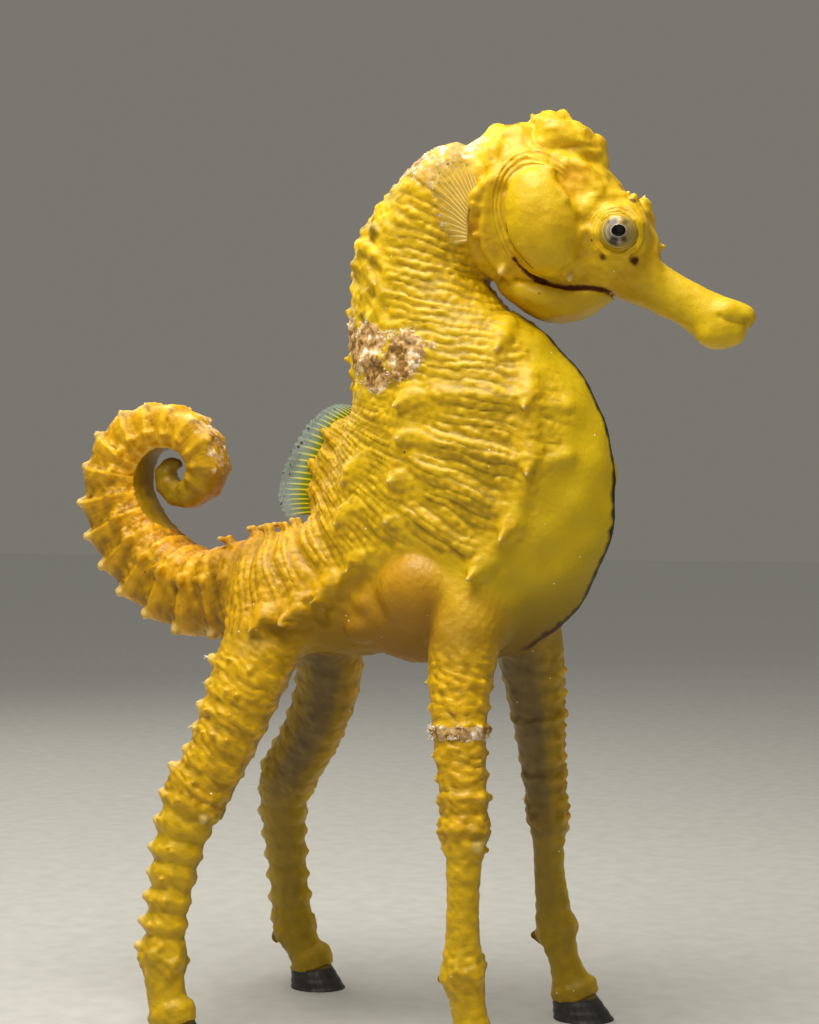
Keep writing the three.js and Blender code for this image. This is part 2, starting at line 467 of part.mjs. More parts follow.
// Head: skull with brow and cheek spines, sockets for the eyes and pockets for the gill covers.
const skullShell = ribbed(SKULL_RIBS, { radial: 14, steps: 9 });
const skullGrown = intoHead(ribbed(SKULL_RIBS, { radial: 14, steps: 9, grow: GAP }));
const snoutShell = ribbed(SNOUT_RIBS, { radial: 12, steps: 10 });
const SNOUT_PLANE = { at: [29.4, 0, 118.0], normal: [0.88, 0, -0.47] };
const snoutSide = (offset) => halfSpace(point(...SNOUT_PLANE.at), point(...SNOUT_PLANE.normal), offset);
let skull = skullShell.add(snoutShell).subtract(snoutSide(0));
const HEAD_SPINES = [
  // t, y, z, direction, height, radius, mirrored on both sides
  { at: [25.8, 3.2, 130.8], out: [0.35, 0.25, 1], height: 1.6, radius: 0.9 },
  { at: [27.4, 2.0, 130.0], out: [0.7, 0.2, 0.9], height: 1.4, radius: 0.8 },
  { at: [17.2, 6.6, 119.4], out: [0.1, 1, -0.3], height: 1.6, radius: 1.2 },
  { at: [6.9, 6.2, 120.4], out: [-0.2, 1, -0.3], height: 1.6, radius: 1.2 },
  { at: [20.7, 7.2, 122.6], out: [0, 1, -0.1], height: 1.2, radius: 1.0 },
];
for (const { at, out, height, radius } of HEAD_SPINES) {
  for (const side of [-1, 1]) {
    const foot = point(at[0], side * at[1], at[2]), direction = point(out[0], side * out[1], out[2]);
    skull = skull.add(spineCone(foot, direction, height, radius));
  }
}
skull = skull.add(spineCone(point(29.4, 0, 124.0), point(1, 0, 0.15), 1.3, 1.0));
for (const side of [-1, 1]) {
  const brow = ellipsoid([EYE.t, side * (EYE.y - 1.3), EYE.z + 0.2], [4.3, 4.0, 4.2], { across: 10, around: 6 });
  skull = skull.add(brow);
}
for (const [side, label] of [[-1, 'right'], [1, 'left']]) {
  const eyeAt = [EYE.t, side * EYE.y, EYE.z];
  const eyeCutter = ellipsoid(eyeAt, Array(3).fill(EYE_RADIUS + GAP), { across: 10, around: 7 });
  const gillAt = [GILL.t, side * GILL.y, GILL.z];
  const gillHalves = [GILL.length, GILL.depth, GILL.height];
  const gillSize = { across: 12, around: 8, lean: GILL.lean };
  skull = skull.subtract(eyeCutter).subtract(ellipsoid(gillAt, gillHalves.map((h) => h + GAP), gillSize));
  node(`eye_${label}`, intoHead(ellipsoid(eyeAt, Array(3).fill(EYE_RADIUS), { across: 10, around: 7 })), COLOURS.eye, 0.15);
  node(`gill_cover_${label}`, intoHead(ellipsoid(gillAt, gillHalves, gillSize)), COLOURS.gill);
}
const head = intoHead(skull).intersect(halfSpace(napePoint, napeNormal, GAP));
node('head', head, COLOURS.head);
node('snout', intoHead(snoutShell.intersect(snoutSide(GAP))), COLOURS.snout);

// Coronet: a lumpy crest with five knobs.
let coronet = ribbed(CORONET_RIBS, { radial: 10, steps: 8 });
for (const [t, y, z, lean] of [[11.2, 0, 144.8, -0.4], [14.4, 2.2, 143.6, 0], [14.4, -2.2, 143.6, 0],
  [18.4, 2.0, 141.0, 0.5], [18.4, -2.0, 141.0, 0.5]]) {
  coronet = coronet.add(spineCone(point(t, y, z), point(lean, y / 4, 1), 1.6, 1.5, { sides: 5 }));
}
node('coronet', intoHead(coronet).subtract(skullGrown), COLOURS.crown);

// Throat sac under the jaw, clear of the chest.
const throat = intoHead(ribbed(THROAT_RIBS, { radial: 14, steps: 8 })).subtract(skullGrown).subtract(torsoGrown)
  .subtract(intoHead(ribbed(SNOUT_RIBS, { radial: 12, steps: 10, grow: GAP })));
node('throat', throat, COLOURS.head);

// Fins.
const dorsal = finPlate(DORSAL_FIN, DORSAL_FIN_THICKNESS).subtract(torsoCutter).subtract(finMound(GAP));
node('dorsal_fin', dorsal, COLOURS.fin, 0.4);
for (const [side, label] of [[-1, 'right'], [1, 'left']]) {
  const plate = finPlate(PECTORAL_FIN, PECTORAL_FIN_THICKNESS);
  const place = new THREE.Matrix4().makeTranslation(4.2, side * 8.7, 0)
    .multiply(new THREE.Matrix4().makeRotationZ(THREE.MathUtils.degToRad(-side * PECTORAL_FIN.splay)))
    .multiply(new THREE.Matrix4().makeTranslation(-4.2, 0, 0));
  const fin = intoHead(plate.transform(place.elements));
  node(`pectoral_fin_${label}`, fin.subtract(torsoGrown).subtract(skullGrown), COLOURS.fin, 0.4);
}
node('neck', neck, COLOURS.neck);

// The part's origin is the middle of its length and width, on the floor.
const reach = new THREE.Box3().setFromObject(group);
const middle = reach.getCenter(new THREE.Vector3());
group.children.forEach(({ geometry }) => geometry.translate(-middle.x, -middle.y, -reach.min.z));

export default group;
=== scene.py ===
"""Looks of the four-legged seahorse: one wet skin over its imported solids, with eyes, hooves and fins.

Sizes are millimetres in the body frame: x towards the animal's chest, y to its left, z up from the
floor. The skin is grown as signed distances on a grid, taken off as one mesh, then wrinkled.
"""

import logging
import math
from collections.abc import Callable
from dataclasses import dataclass, field
from enum import Enum
from functools import partial

import bpy
import numpy as np
import openvdb as vdb
from mathutils.kdtree import KDTree
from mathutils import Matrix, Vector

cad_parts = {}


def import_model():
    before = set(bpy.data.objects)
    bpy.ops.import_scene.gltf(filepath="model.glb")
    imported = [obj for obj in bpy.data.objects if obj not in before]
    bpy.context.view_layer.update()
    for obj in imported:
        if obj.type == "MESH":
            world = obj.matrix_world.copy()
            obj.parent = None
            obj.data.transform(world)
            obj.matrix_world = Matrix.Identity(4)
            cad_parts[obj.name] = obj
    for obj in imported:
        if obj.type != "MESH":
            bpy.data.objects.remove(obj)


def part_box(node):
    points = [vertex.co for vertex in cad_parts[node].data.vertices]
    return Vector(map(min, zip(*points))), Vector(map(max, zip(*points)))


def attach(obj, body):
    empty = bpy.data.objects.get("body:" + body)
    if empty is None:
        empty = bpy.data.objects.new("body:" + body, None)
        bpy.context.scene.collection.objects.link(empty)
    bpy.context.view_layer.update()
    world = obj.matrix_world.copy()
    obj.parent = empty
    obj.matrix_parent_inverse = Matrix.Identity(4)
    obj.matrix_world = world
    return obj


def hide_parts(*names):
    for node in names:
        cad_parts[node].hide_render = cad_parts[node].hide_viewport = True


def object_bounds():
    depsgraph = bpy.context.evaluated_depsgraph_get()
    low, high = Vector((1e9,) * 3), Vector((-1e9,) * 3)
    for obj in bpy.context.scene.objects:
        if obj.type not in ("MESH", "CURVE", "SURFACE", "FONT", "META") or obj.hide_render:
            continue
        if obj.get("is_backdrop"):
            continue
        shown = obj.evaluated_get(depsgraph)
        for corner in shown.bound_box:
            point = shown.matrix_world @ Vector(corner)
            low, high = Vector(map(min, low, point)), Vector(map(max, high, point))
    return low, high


logging.basicConfig(level=logging.INFO, format="%(message)s")
log = logging.getLogger("seahorse")

Array = np.ndarray
Rows = tuple[tuple[float, ...], ...]
Place = tuple[float, float, float]
Stops = tuple[tuple[float, str], ...]  # places and hex colours of a colour ramp

MM = 0.001
TURN = 2 * math.pi
UP = np.array([0.0, 0.0, 1.0])
SIDES = {"right": -1.0, "left": 1.0}
VOXEL = 0.35  # grid step of the skin
BAND_VOXELS = 10  # distances are kept this many steps to each side of the skin
GRID_MARGIN = 3.0
SIGHT = 26.0  # how far in from a start the flesh is looked for
SIGHT_STEPS = 260
BLOCK = 8192  # points measured at a time, to spare memory
HEAD_TURN = math.radians(12)
HEAD_PIVOT = np.array([14.9, 0.0, 0.0])
HEAD_AXES = np.array([[math.cos(HEAD_TURN), math.sin(HEAD_TURN), 0.0],  # forward, left and up, as rows
                      [-math.sin(HEAD_TURN), math.cos(HEAD_TURN), 0.0], [0.0, 0.0, 1.0]])


class Blend(Enum):
    """How softly a form runs into the flesh it grows from: the width of the fillet, mm."""

    HIP = 4.2
    BROAD = 3.0
    SOFT = 1.7
    CROWN = 1.2
    FIRM = 0.8
    BAG = 0.55
    GILL = 0.35
    CRISP = 0.3


# ---- small tools ---------------------------------------------------------------------------------
def ease(value: Array, low: float, high: float) -> Array:
    """Ease from 0 at low to 1 at high, or the other way where low is above high."""
    share = np.clip((value - low) / (high - low), 0.0, 1.0)
    return share * share * (3.0 - 2.0 * share)


def between(start: Array, stop: Array, share: Array) -> Array:
    """What lies a share of the way from start to stop."""
    return start + (stop - start) * share


def through(rows: Rows, count: int | Array) -> Array:
    """Read the smooth curve that passes through rows of numbers.

    Args:
        rows: The rows to pass through.
        count: How many rows to read, evenly from the first to the last, or the shares to read at.

    Returns:
        One row for each.
    """
    shares = np.linspace(0, 1, count) if isinstance(count, int) else count
    given = np.asarray(rows, float)
    ends = np.vstack([2 * given[0] - given[1], given, 2 * given[-1] - given[-2]])
    place = np.clip(shares, 0.0, 1.0) * (len(given) - 1)
    span = np.minimum(place.astype(int), len(given) - 2)
    t = (place - span)[:, None]
    before, start, stop, after = (ends[span + k] for k in range(4))
    bend = 2 * before - 5 * start + 4 * stop - after
    twist = 3 * start - before - 3 * stop + after
    return 0.5 * (2 * start + (stop - before) * t + bend * t**2 + twist * t**3)


def evened(path: Array, span: int) -> Array:
    """A path smoothed over an odd number of its points."""
    padded = np.pad(path, ((span // 2, span // 2), (0, 0)), mode="edge")
    return np.stack([np.convolve(axis, np.ones(span) / span, "valid") for axis in padded.T], axis=1)


def unit(vectors: Array) -> Array:
    """Scale vectors to length one along their last axis."""
    vectors = np.asarray(vectors, float)
    return vectors / np.maximum(np.linalg.norm(vectors, axis=-1, keepdims=True), 1e-12)


def ridge(phase: Array, sharpness: float = 0.8) -> Array:
    """Rope-like ridges with narrow grooves: 1 on a crest, 0 in a groove, one ridge a turn of phase."""
    return np.abs(np.cos(phase / 2)) ** sharpness


class Ripples:
    """Smooth random fields at a set of points, each made of plane waves in random directions."""

    WAVES = 14

    def __init__(self, points: Array) -> None:
        """Keep the points."""
        self.points = points

    def __call__(self, size: float, seed: int) -> Array:
        """Read one field, which averages 0 and seldom leaves -2 to 2.

        Args:
            size: The usual distance between two crests, mm.
            seed: Start of the field's random draw.

        Returns:
            Its value at each point.
        """
        draw = np.random.default_rng(seed)
        heading = unit(draw.normal(size=(self.WAVES, 3)))
        pull = heading * (TURN / size) * draw.uniform(0.7, 1.4, (self.WAVES, 1))
        phase = draw.uniform(0, TURN, self.WAVES)
        return np.sin(self.points @ pull.T + phase).sum(axis=1) * math.sqrt(2 / self.WAVES)


def section_radius(angle: Array, depth: Array, width: Array, full: Array) -> Array:
    """Radius of a superellipse section at an angle from its depth axis; full is 2 for an ellipse."""
    return ((np.abs(np.cos(angle)) / depth) ** full + (np.abs(np.sin(angle)) / width) ** full) ** (-1 / full)


@dataclass
class Solid:
    """A closed mesh: points, four-sided faces and three-sided faces."""

    points: Array
    quads: Array
    triangles: Array

    @classmethod
    def from_rings(cls, rings: Array) -> "Solid":
        """Close a stack of rings with faces between them and a fan at each end.

        Args:
            rings: Points as (ring, place round it, 3).

        Returns:
            The closed mesh.
        """
        count, around = rings.shape[:2]
        index = np.arange(count * around).reshape(count, around)
        turned = np.roll(index, -1, axis=1)
        quads = np.stack([index[:-1], turned[:-1], turned[1:], index[1:]], axis=-1).reshape(-1, 4)
        first, last = (np.full(around, count * around + end) for end in (0, 1))
        caps = np.vstack([np.stack([turned[0], index[0], first], axis=-1),
                          np.stack([index[-1], turned[-1], last], axis=-1)])
        points = np.vstack([rings.reshape(-1, 3), rings[0].mean(axis=0), rings[-1].mean(axis=0)])
        return cls(points, quads, caps)

    @classmethod
    def swept(cls, middle: Array, deep: Array, wide: Array, angle: Array, radius: Array) -> "Solid":
        """Sweep a section along a line of middles, with its depth and width axes at each."""
        return cls.from_rings(middle[:, None] + ((radius * np.cos(angle))[..., None] * deep[:, None]
                                                 + (radius * np.sin(angle))[..., None] * wide[:, None]))


def round_turn(count: int) -> Array:
    """Angles round one full turn, as a row."""
    return np.linspace(0, TURN, count, endpoint=False)[None, :]


def ellipsoid(centre: Place, halves: Place, lean: float = 0.0) -> Solid:
    """An ellipsoid leaned about y.

    Args:
        centre: Its middle.
        halves: Half sizes along x, y and z before it is leaned.
        lean: Degrees about y, positive from z towards x.

    Returns:
        Its closed mesh.
    """
    theta, angle = np.linspace(0.02, math.pi - 0.02, 48)[:, None], round_turn(72)
    ball = np.stack([np.sin(theta) * np.cos(angle), np.sin(theta) * np.sin(angle),
                     np.cos(theta) + 0 * angle], axis=-1) * np.asarray(halves)
    c, s = math.cos(math.radians(lean)), math.sin(math.radians(lean))
    return Solid.from_rings(ball @ np.array([[c, 0, -s], [0, 1, 0], [s, 0, c]]) + np.asarray(centre))


def ribbed(ribs: Rows, rings: int, around: int) -> Solid:
    """A body stretched over flat ribs in the xz plane.

    Args:
        ribs: Edge a x, a z, edge b x, b z, half width, and fullness towards a and towards b.
        rings: Rings along it.
        around: Points round each ring.

    Returns:
        Its closed mesh.
    """
    flat = through([row if len(row) == 7 else (*row, 2.1, 2.1) for row in ribs], rings)
    edge_a, edge_b = flat[:, 0:2], flat[:, 2:4]
    middle = np.insert((edge_a + edge_b) / 2, 1, 0.0, axis=1)
    deep = unit(np.insert(edge_b - edge_a, 1, 0.0, axis=1))
    wide = unit(np.cross(deep, np.gradient(middle, axis=0)))
    depth = np.linalg.norm(edge_b - edge_a, axis=1)[:, None] / 2
    angle = round_turn(around)
    full = np.where(np.cos(angle) > 0, flat[:, 6:7], flat[:, 5:6])
    radius = section_radius(angle, depth, np.maximum(0.3, flat[:, 4:5]), full)
    return Solid.swept(middle, deep, wide, angle, radius)


class Limb:
    """A leg or tail: a spine with a round or squarish section, read by millimetres along it."""

    def __init__(self, stations: Rows, full: float, samples: int) -> None:
        """Lay the spine through its stations.

        Args:
            stations: Rows of x, y, z, half depth and half width.
            full: The section's superellipse exponent.
            samples: Points kept along the spine.
        """
        dense = through(stations, 4 * samples)
        run = np.concatenate([[0], np.cumsum(np.linalg.norm(np.diff(dense[:, :3], axis=0), axis=1))])
        self.length = float(run[-1])
        self.reach = np.linspace(0, self.length, samples)
        rows = np.stack([np.interp(self.reach, run, dense[:, k]) for k in range(5)], axis=1)
        self.centre, self.depth, self.width, self.full = rows[:, :3], rows[:, 3], rows[:, 4], full
        self.along = unit(np.gradient(self.centre, axis=0))
        level = np.array([0.0, 1.0, 0.0])
        self.wide = -unit(level - self.along * (self.along @ level)[:, None])
        self.deep = np.cross(self.along, self.wide)
        self.station_reach = np.interp(np.linspace(0, 1, len(stations)), np.linspace(0, 1, 4 * samples), run)

    def solid(self, around: int) -> Solid:
        """Mesh the limb."""
        angle = round_turn(around)
        radius = section_radius(angle, self.depth[:, None], self.width[:, None], self.full)
        return Solid.swept(self.centre, self.deep, self.wide, angle, radius)

    def surface(self, reach: float, degrees: float) -> tuple[Array, Array]:
        """A point on the limb's surface.

        Args:
            reach: Millimetres from the root.
            degrees: Angle from the back edge, positive towards the right side.

        Returns:
            The point and the outward direction there.
        """
        k = int(np.clip(np.searchsorted(self.reach, reach), 0, len(self.reach) - 1))
        angle = math.radians(degrees)
        out = self.deep[k] * math.cos(angle) + self.wide[k] * math.sin(angle)
        return self.centre[k] + out * section_radius(angle, self.depth[k], self.width[k], self.full), out

    def locate(self, points: Array) -> tuple[Array, Array, Array]:
        """Find where points lie on the limb.

        Args:
            points: Points near it.

        Returns:
            Millimetres from the root, angle from the back edge in radians, and radius in mm there.
        """
        nearest = np.concatenate([((self.centre**2).sum(axis=1) - 2 * block @ self.centre.T).argmin(axis=1)
                                  for block in np.split(points, range(BLOCK, len(points), BLOCK))])
        offset = points - self.centre[nearest]
        lead, wide, deep = (np.einsum("ij,ij->i", offset, axis[nearest])
                            for axis in (self.along, self.wide, self.deep))
        return self.reach[nearest] + np.clip(lead, -0.4, 0.4), np.arctan2(wide, deep), self.depth[nearest]


class Flesh:
    """Signed distances round the whole body, joined and cut smoothly, then taken off as one skin."""

    def __init__(self, low: Array, high: Array, voxel: float) -> None:
        """Lay the grid.

        Args:
            low: Lowest corner of the body.
            high: Highest corner of the body.
            voxel: The grid's step, mm.
        """
        self.voxel = voxel
        self.band = BAND_VOXELS * voxel
        self.first = np.floor((low - GRID_MARGIN) / voxel).astype(int)
        shape = np.ceil((high + GRID_MARGIN) / voxel).astype(int) - self.first
        self.distance = np.full(shape, self.band, np.float32)
        self.layers: dict[Blend, Array] = {}
        self.regions: dict[str, list[tuple[Array, Array]]] = {}
        self.tips: list[tuple[Array, float]] = []

    def window(self, points: Array, pad: float) -> tuple[Array, tuple[slice, ...]]:
        """The grid's cells round some points: their first index and the slices that hold them."""
        low, high = points.min(axis=0) - pad, points.max(axis=0) + pad
        start = np.clip(np.floor(low / self.voxel).astype(int) - self.first, 0, self.distance.shape)
        stop = np.clip(np.ceil(high / self.voxel).astype(int) - self.first + 1, 0, self.distance.shape)
        return start, tuple(slice(a, b) for a, b in zip(start, stop))

    def blended(self, one: Array, other: Array, blend: Blend) -> Array:
        """The nearer of two distances, with a fillet where they meet."""
        fillet = np.maximum(blend.value - np.abs(one - other), 0.0)
        nearer = np.minimum(one, other) - fillet * fillet / (4 * blend.value)
        return np.where((one >= self.band) & (other >= self.band), self.band, nearer).astype(np.float32)

    def join(self, region: str, solid: Solid, blend: Blend) -> None:
        """Join a form to the flesh.

        Args:
            region: The part of the body that it belongs to.
            solid: The closed form.
            blend: The fillet round it.
        """
        start, cells = self.window(solid.points, self.band)
        grid = vdb.FloatGrid.createLevelSetFromPolygons(
            solid.points.astype(np.float32), triangles=solid.triangles.astype(np.uint32),
            quads=solid.quads.astype(np.uint32), transform=vdb.createLinearTransform(self.voxel),
            halfWidth=float(BAND_VOXELS))
        block = np.empty(self.distance[cells].shape, np.float32)
        grid.copyToArray(block, ijk=tuple(int(i) for i in start + self.first))
        self.distance[cells] = self.blended(self.distance[cells], block, blend)
        self.regions.setdefault(region, []).append((start, block))

    def places(self, cells: tuple[slice, ...]) -> Array:
        """Where the grid's cells in a window lie."""
        axes = [(np.arange(c.start, c.stop) + first) * self.voxel for c, first in zip(cells, self.first)]
        return np.stack(np.meshgrid(*axes, indexing="ij"), axis=-1)

    def knob(self, blend: Blend, foot: Array, tip: Array, foot_radius: float, tip_radius: float,
             pale: bool = False) -> None:
        """Lay a round-ended cone over the flesh, to be joined when the knobs are settled.

        Args:
            blend: The fillet round it.
            foot: Middle of its thick end.
            tip: Middle of its thin end.
            foot_radius: Radius at the foot.
            tip_radius: Radius at the tip.
            pale: Whether its tip is pale.
        """
        _, cells = self.window(np.stack([foot, tip]), max(foot_radius, tip_radius) + 2.2)
        share, far = along_line(self.places(cells), foot, tip)
        layer = self.layers.setdefault(blend, np.full(self.distance.shape, self.band, np.float32))
        reach = (far - foot_radius - share * (tip_radius - foot_radius)).astype(np.float32)
        layer[cells] = np.minimum(layer[cells], np.minimum(reach, self.band))
        if pale:
            self.tips.append((tip, max(tip_radius, 0.3)))

    def ridge(self, blend: Blend, path: Array, radius: float) -> None:
        """Lay a round ridge along a path."""
        for foot, tip in zip(path[:-1], path[1:]):
            self.knob(blend, foot, tip, radius, radius)

    def settle(self) -> None:
        """Join every knob laid so far."""
        for blend, layer in self.layers.items():
            self.distance = self.blended(self.distance, layer, blend)
        self.layers = {}

    def cut(self, path: Array, radius: float, blend: Blend = Blend.CRISP, ends: float = 1.0) -> None:
        """Cut a round groove along a path.

        Args:
            path: Points along the groove's middle.
            radius: Its radius at mid length.
            blend: How soft its edges are.
            ends: Its radius at the ends, as a share of that.
        """
        girth = radius * (ends + (1 - ends) * np.sin(np.linspace(0, math.pi, len(path))) ** 0.7)
        _, cells = self.window(path, radius + 2.0)
        place = self.places(cells)
        groove = np.full(place.shape[:-1], self.band)
        for foot, tip, here in zip(path[:-1], path[1:], girth):
            groove = np.minimum(groove, along_line(place, foot, tip)[1] - here)
        self.distance[cells] = -self.blended(-self.distance[cells], groove.astype(np.float32), blend)

    def read(self, points: Array) -> Array:
        """Read the distance at points, between the grid's cells."""
        place = points / self.voxel - self.first
        base = np.clip(np.floor(place).astype(int), 0, np.array(self.distance.shape) - 2)
        part = np.clip(place - base, 0.0, 1.0)
        total = np.zeros(len(points))
        for corner in np.ndindex(2, 2, 2):
            weight = np.prod(np.where(corner, part, 1 - part), axis=1)
            total += weight * self.distance[tuple((base + corner).T)]
        return total

    def region(self, name: str, points: Array) -> Array:
        """Distance from points to one part of the body, the band's width where it is farther."""
        cell = np.round(points / self.voxel).astype(int) - self.first
        nearest = np.full(len(points), self.band)
        for start, block in self.regions[name]:
            local = cell - start
            inside = ((local >= 0) & (local < block.shape)).all(axis=1)
            nearest[inside] = np.minimum(nearest[inside], block[tuple(local[inside].T)])
        return nearest

    def touch(self, starts: Array, heading: Array) -> Array:
        """Where lines from outside first meet the flesh.

        Args:
            starts: Points outside the flesh.
            heading: The way to look.

        Returns:
            The places, or the ends of lines that meet nothing.
        """
        lines = starts[:, None] + unit(heading) * np.linspace(0, SIGHT, SIGHT_STEPS)[:, None]
        inside = self.read(lines.reshape(-1, 3)).reshape(lines.shape[:2]) < 0
        first = np.where(inside.any(axis=1), inside.argmax(axis=1), -1)
        return lines[np.arange(len(lines)), first]

    def outward(self, points: Array) -> Array:
        """Outward directions at points on the skin."""
        step = np.eye(3) * self.voxel * 0.75
        return unit(np.stack([self.read(points + s) - self.read(points - s) for s in step], axis=1))

    def skin(self) -> tuple[Array, Array]:
        """Take the skin off the grid.

        Returns:
            Its points and its four-sided faces, in one piece.
        """
        grid = vdb.FloatGrid()
        grid.background = self.band
        grid.gridClass = vdb.GridClass.LEVEL_SET
        grid.transform = vdb.createLinearTransform(self.voxel)
        grid.copyFromArray(self.distance, ijk=tuple(int(i) for i in self.first))
        points, quads = grid.convertToQuads(0.0)
        return largest_piece(points.astype(float), quads[:, ::-1].astype(int))


def along_line(places: Array, foot: Array, tip: Array) -> tuple[Array, Array]:
    """How far along a line each place lies, 0 at the foot to 1 at the tip, and how far from it."""
    axis, place = tip - foot, places - foot
    share = np.clip(place @ axis / max(axis @ axis, 1e-9), 0.0, 1.0)
    return share, np.linalg.norm(place - share[..., None] * axis, axis=-1)


def largest_piece(points: Array, quads: Array) -> tuple[Array, Array]:
    """Keep the largest connected piece of a mesh.

    Args:
        points: All the points.
        quads: All the faces.

    Returns:
        The piece's points and faces.
    """
    label = np.arange(len(points))
    while True:
        lowest = label[quads].min(axis=1)
        spread = label.copy()
        for corner in quads.T:
            order = np.argsort(-lowest, kind="stable")
            spread[corner[order]] = np.minimum(spread[corner[order]], lowest[order])
        while (spread[spread] != spread).any():
            spread = spread[spread]
        if (spread == label).all():
            break
        label = spread
    names, sizes = np.unique(label, return_counts=True)
    kept = label == names[sizes.argmax()]
    renumber = np.cumsum(kept) - 1
    return points[kept], renumber[quads[kept[quads].all(axis=1)]]


# ---- the body ------------------------------------------------------------------------------------
@dataclass
class Paint:
    """What the skin's material reads at each point, each 0 to 1 unless it says otherwise."""

    relief: Array  # how light the skin is painted: its own tone, with painted shade in grooves and painted light on crests; 0 in a groove, 1 on a crest
    warm: Array  # from lemon to orange
    olive: Array  # olive tint: painted shade low on the belly, throat and pouch, and the skin's own olive elsewhere
    smooth: Array  # where the skin is stretched smooth
    keel: Array  # the black line down the belly's edge
    crust: Array  # pinkish encrusted patches
    drab: Array  # greyish inner sides of the legs
    pale: Array  # tips of spines and warts
    dark: Array  # painted shade in creases, in the nostrils and low under the belly and pouch; also the skin's own dark marks
    line_phase: Array  # radians across the finest wrinkles
    line_depth: Array  # how deep those are, both as bumps and as painted shade in their grooves

    @classmethod
    def blank(cls, count: int) -> "Paint":
        """Paint that marks nothing, for a number of points."""
        return cls(*(np.zeros(count) for _ in cls.__dataclass_fields__))

    def add(self, share: Array, **marks: Array | float) -> None:
        """Add to marks by name, each as far as points belong to the part that is painted."""
        for name, value in marks.items():
            setattr(self, name, getattr(self, name) + share * value)


@dataclass
class Torso:
    """Trunk, neck, rump and the mound under the back fin."""

    ribs: Rows = (
        (15.6, 60.3, 19.8, 60.4, 1.4, 2, 2), (9, 62, 25, 62.4, 5.6, 2, 1.9), (3, 65, 29.2, 65.4, 9, 2, 1.8),
        (-4, 69.4, 33.7, 69.6, 11.6, 2.1, 1.75), (-9.4, 75.6, 36.9, 75.8, 12.8, 2.1, 1.7),
        (-11.2, 82.7, 38.3, 80.6, 13.2, 2.1, 1.7), (-8.6, 90.4, 38.9, 88.1, 13, 2.1, 1.7),
        (-6.4, 95.7, 38, 94.2, 12.6, 2.1, 1.7), (-4.6, 101.4, 35.7, 100.5, 12, 2.1, 1.75),
        (-4.9, 107.9, 31.7, 106.2, 11, 2.1, 1.8), (-5.2, 112.7, 27.2, 110.9, 10, 2.1, 1.9),
        (-4.8, 119.2, 20.9, 115.9, 9, 2.1, 2), (-3.9, 127, 17.8, 120.4, 8.2, 2.1, 2),
        (2.9, 135.4, 17.4, 126.8, 7.6, 2.1, 2), (8.4, 140, 19, 131, 7.2, 2.1, 2),
        (13.4, 141.4, 21, 134, 6.4, 2.1, 2))
    rump: Rows = (
        (10, 86, 8, 64, 10.4, 2.2, 2.2), (-2, 85.4, -2.6, 60.2, 11, 2.3, 2.3),
        (-9.6, 82.9, -9.2, 60.6, 10.6, 2.5, 2.5), (-15.4, 80.2, -15, 61.4, 9.8, 2.7, 2.7),
        (-21.5, 78.6, -21.5, 61.9, 9, 2.9, 2.9))
    # lines that the flank's wrinkles follow, fanned from the nape round to the tail:
    # x, z at the back, x, z at the belly
    fan: Rows = (
        (3, 134.5, 17, 127.5), (-1, 126.5, 17.5, 121.6), (-4, 117.4, 22.2, 112.8), (-4.8, 112.6, 24, 108.4),
        (-4.6, 106.8, 27, 102.2), (-4.6, 98.6, 28.8, 89.5), (-7.2, 95.4, 25.5, 79.6), (-9.6, 93, 20.4, 73.7),
        (-11, 88.6, 12.4, 70.4), (-11.6, 85.4, 3.6, 70), (-13.7, 81.4, -4.7, 69.3), (-17.3, 79.8, -10.4, 66),
        (-21.5, 78.6, -18, 62))
    pitch: float = 1.45  # of the flank's wrinkles
    depth: float = 0.40
    # rows of big cones down each flank, each the end of a ridge:
    # x, z of the ridge's start, x, z of the tip, how far the tip stands out, radius of the ridge
    cones: Rows = (
        (23.4, 112.2, 23.1, 108.2, 1.2, 1.2), (27.9, 103.6, 28.2, 99.2, 2, 1.5),
        (28.6, 94.6, 29, 89.2, 2.3, 1.6), (27.2, 84.6, 25.4, 79.5, 2.8, 1.9),
        (23.4, 77.6, 20.7, 73.6, 3, 1.8), (13.6, 100.4, 7.9, 100, 2.6, 2.1), (12, 94, 8.4, 94.8, 2, 1.6),
        (10.8, 87.4, 7.2, 88.3, 2, 1.7), (9.6, 81, 6.6, 81.9, 1.4, 1.3), (2.6, 76.2, -0.4, 74.4, 1.6, 1.6),
        (-1.2, 73, -6.1, 69.8, 2.7, 2.2), (-6, 69.6, -10.7, 66.4, 2.7, 2.2),
        (-12.2, 67.4, -15.5, 64.9, 1.8, 1.7), (0.6, 90.8, -2.4, 88, 1.2, 1.4),
        (0.2, 83.4, -3.2, 81.6, 1.2, 1.4))
    # low folds that run between them: x, z to x, z, radius
    folds: Rows = (
        (27.4, 100.2, 14, 101, 0.9), (27.6, 90.6, 12.6, 94.4, 0.9), (26.6, 82.2, 11.4, 90.6, 1),
        (22.6, 76, 10.4, 83.2, 0.9), (28.6, 99, 28.8, 94.8, 0.7), (28.4, 89, 27.6, 85, 0.8),
        (25.2, 79.6, 23.8, 77.8, 0.8), (29.8, 90.2, 33.6, 91.4, 0.6), (28.6, 99.4, 33, 99.2, 0.6),
        (9, 99, 9.6, 95.4, 0.8), (8.4, 94, 8.2, 89.4, 0.8), (7.6, 87.4, 7.6, 82.8, 0.8))
    # ridges of the encrusted scute on each shoulder: radius, then x, z along each
    scutes: tuple[tuple[float, Rows], ...] = (
        (0.85, ((5.9, 111.6), (6.1, 109.1), (5.5, 107.2), (6.3, 104.6), (6.5, 103.8))),
        (0.8, ((0.6, 107.1), (3.4, 107.2), (5.4, 107.2))),
        (0.45, ((6.4, 110.9), (8.6, 110.4), (10.9, 109.1), (11.2, 107.4), (10.0, 105.3), (9.2, 104.3),
                (6.8, 104.2))))
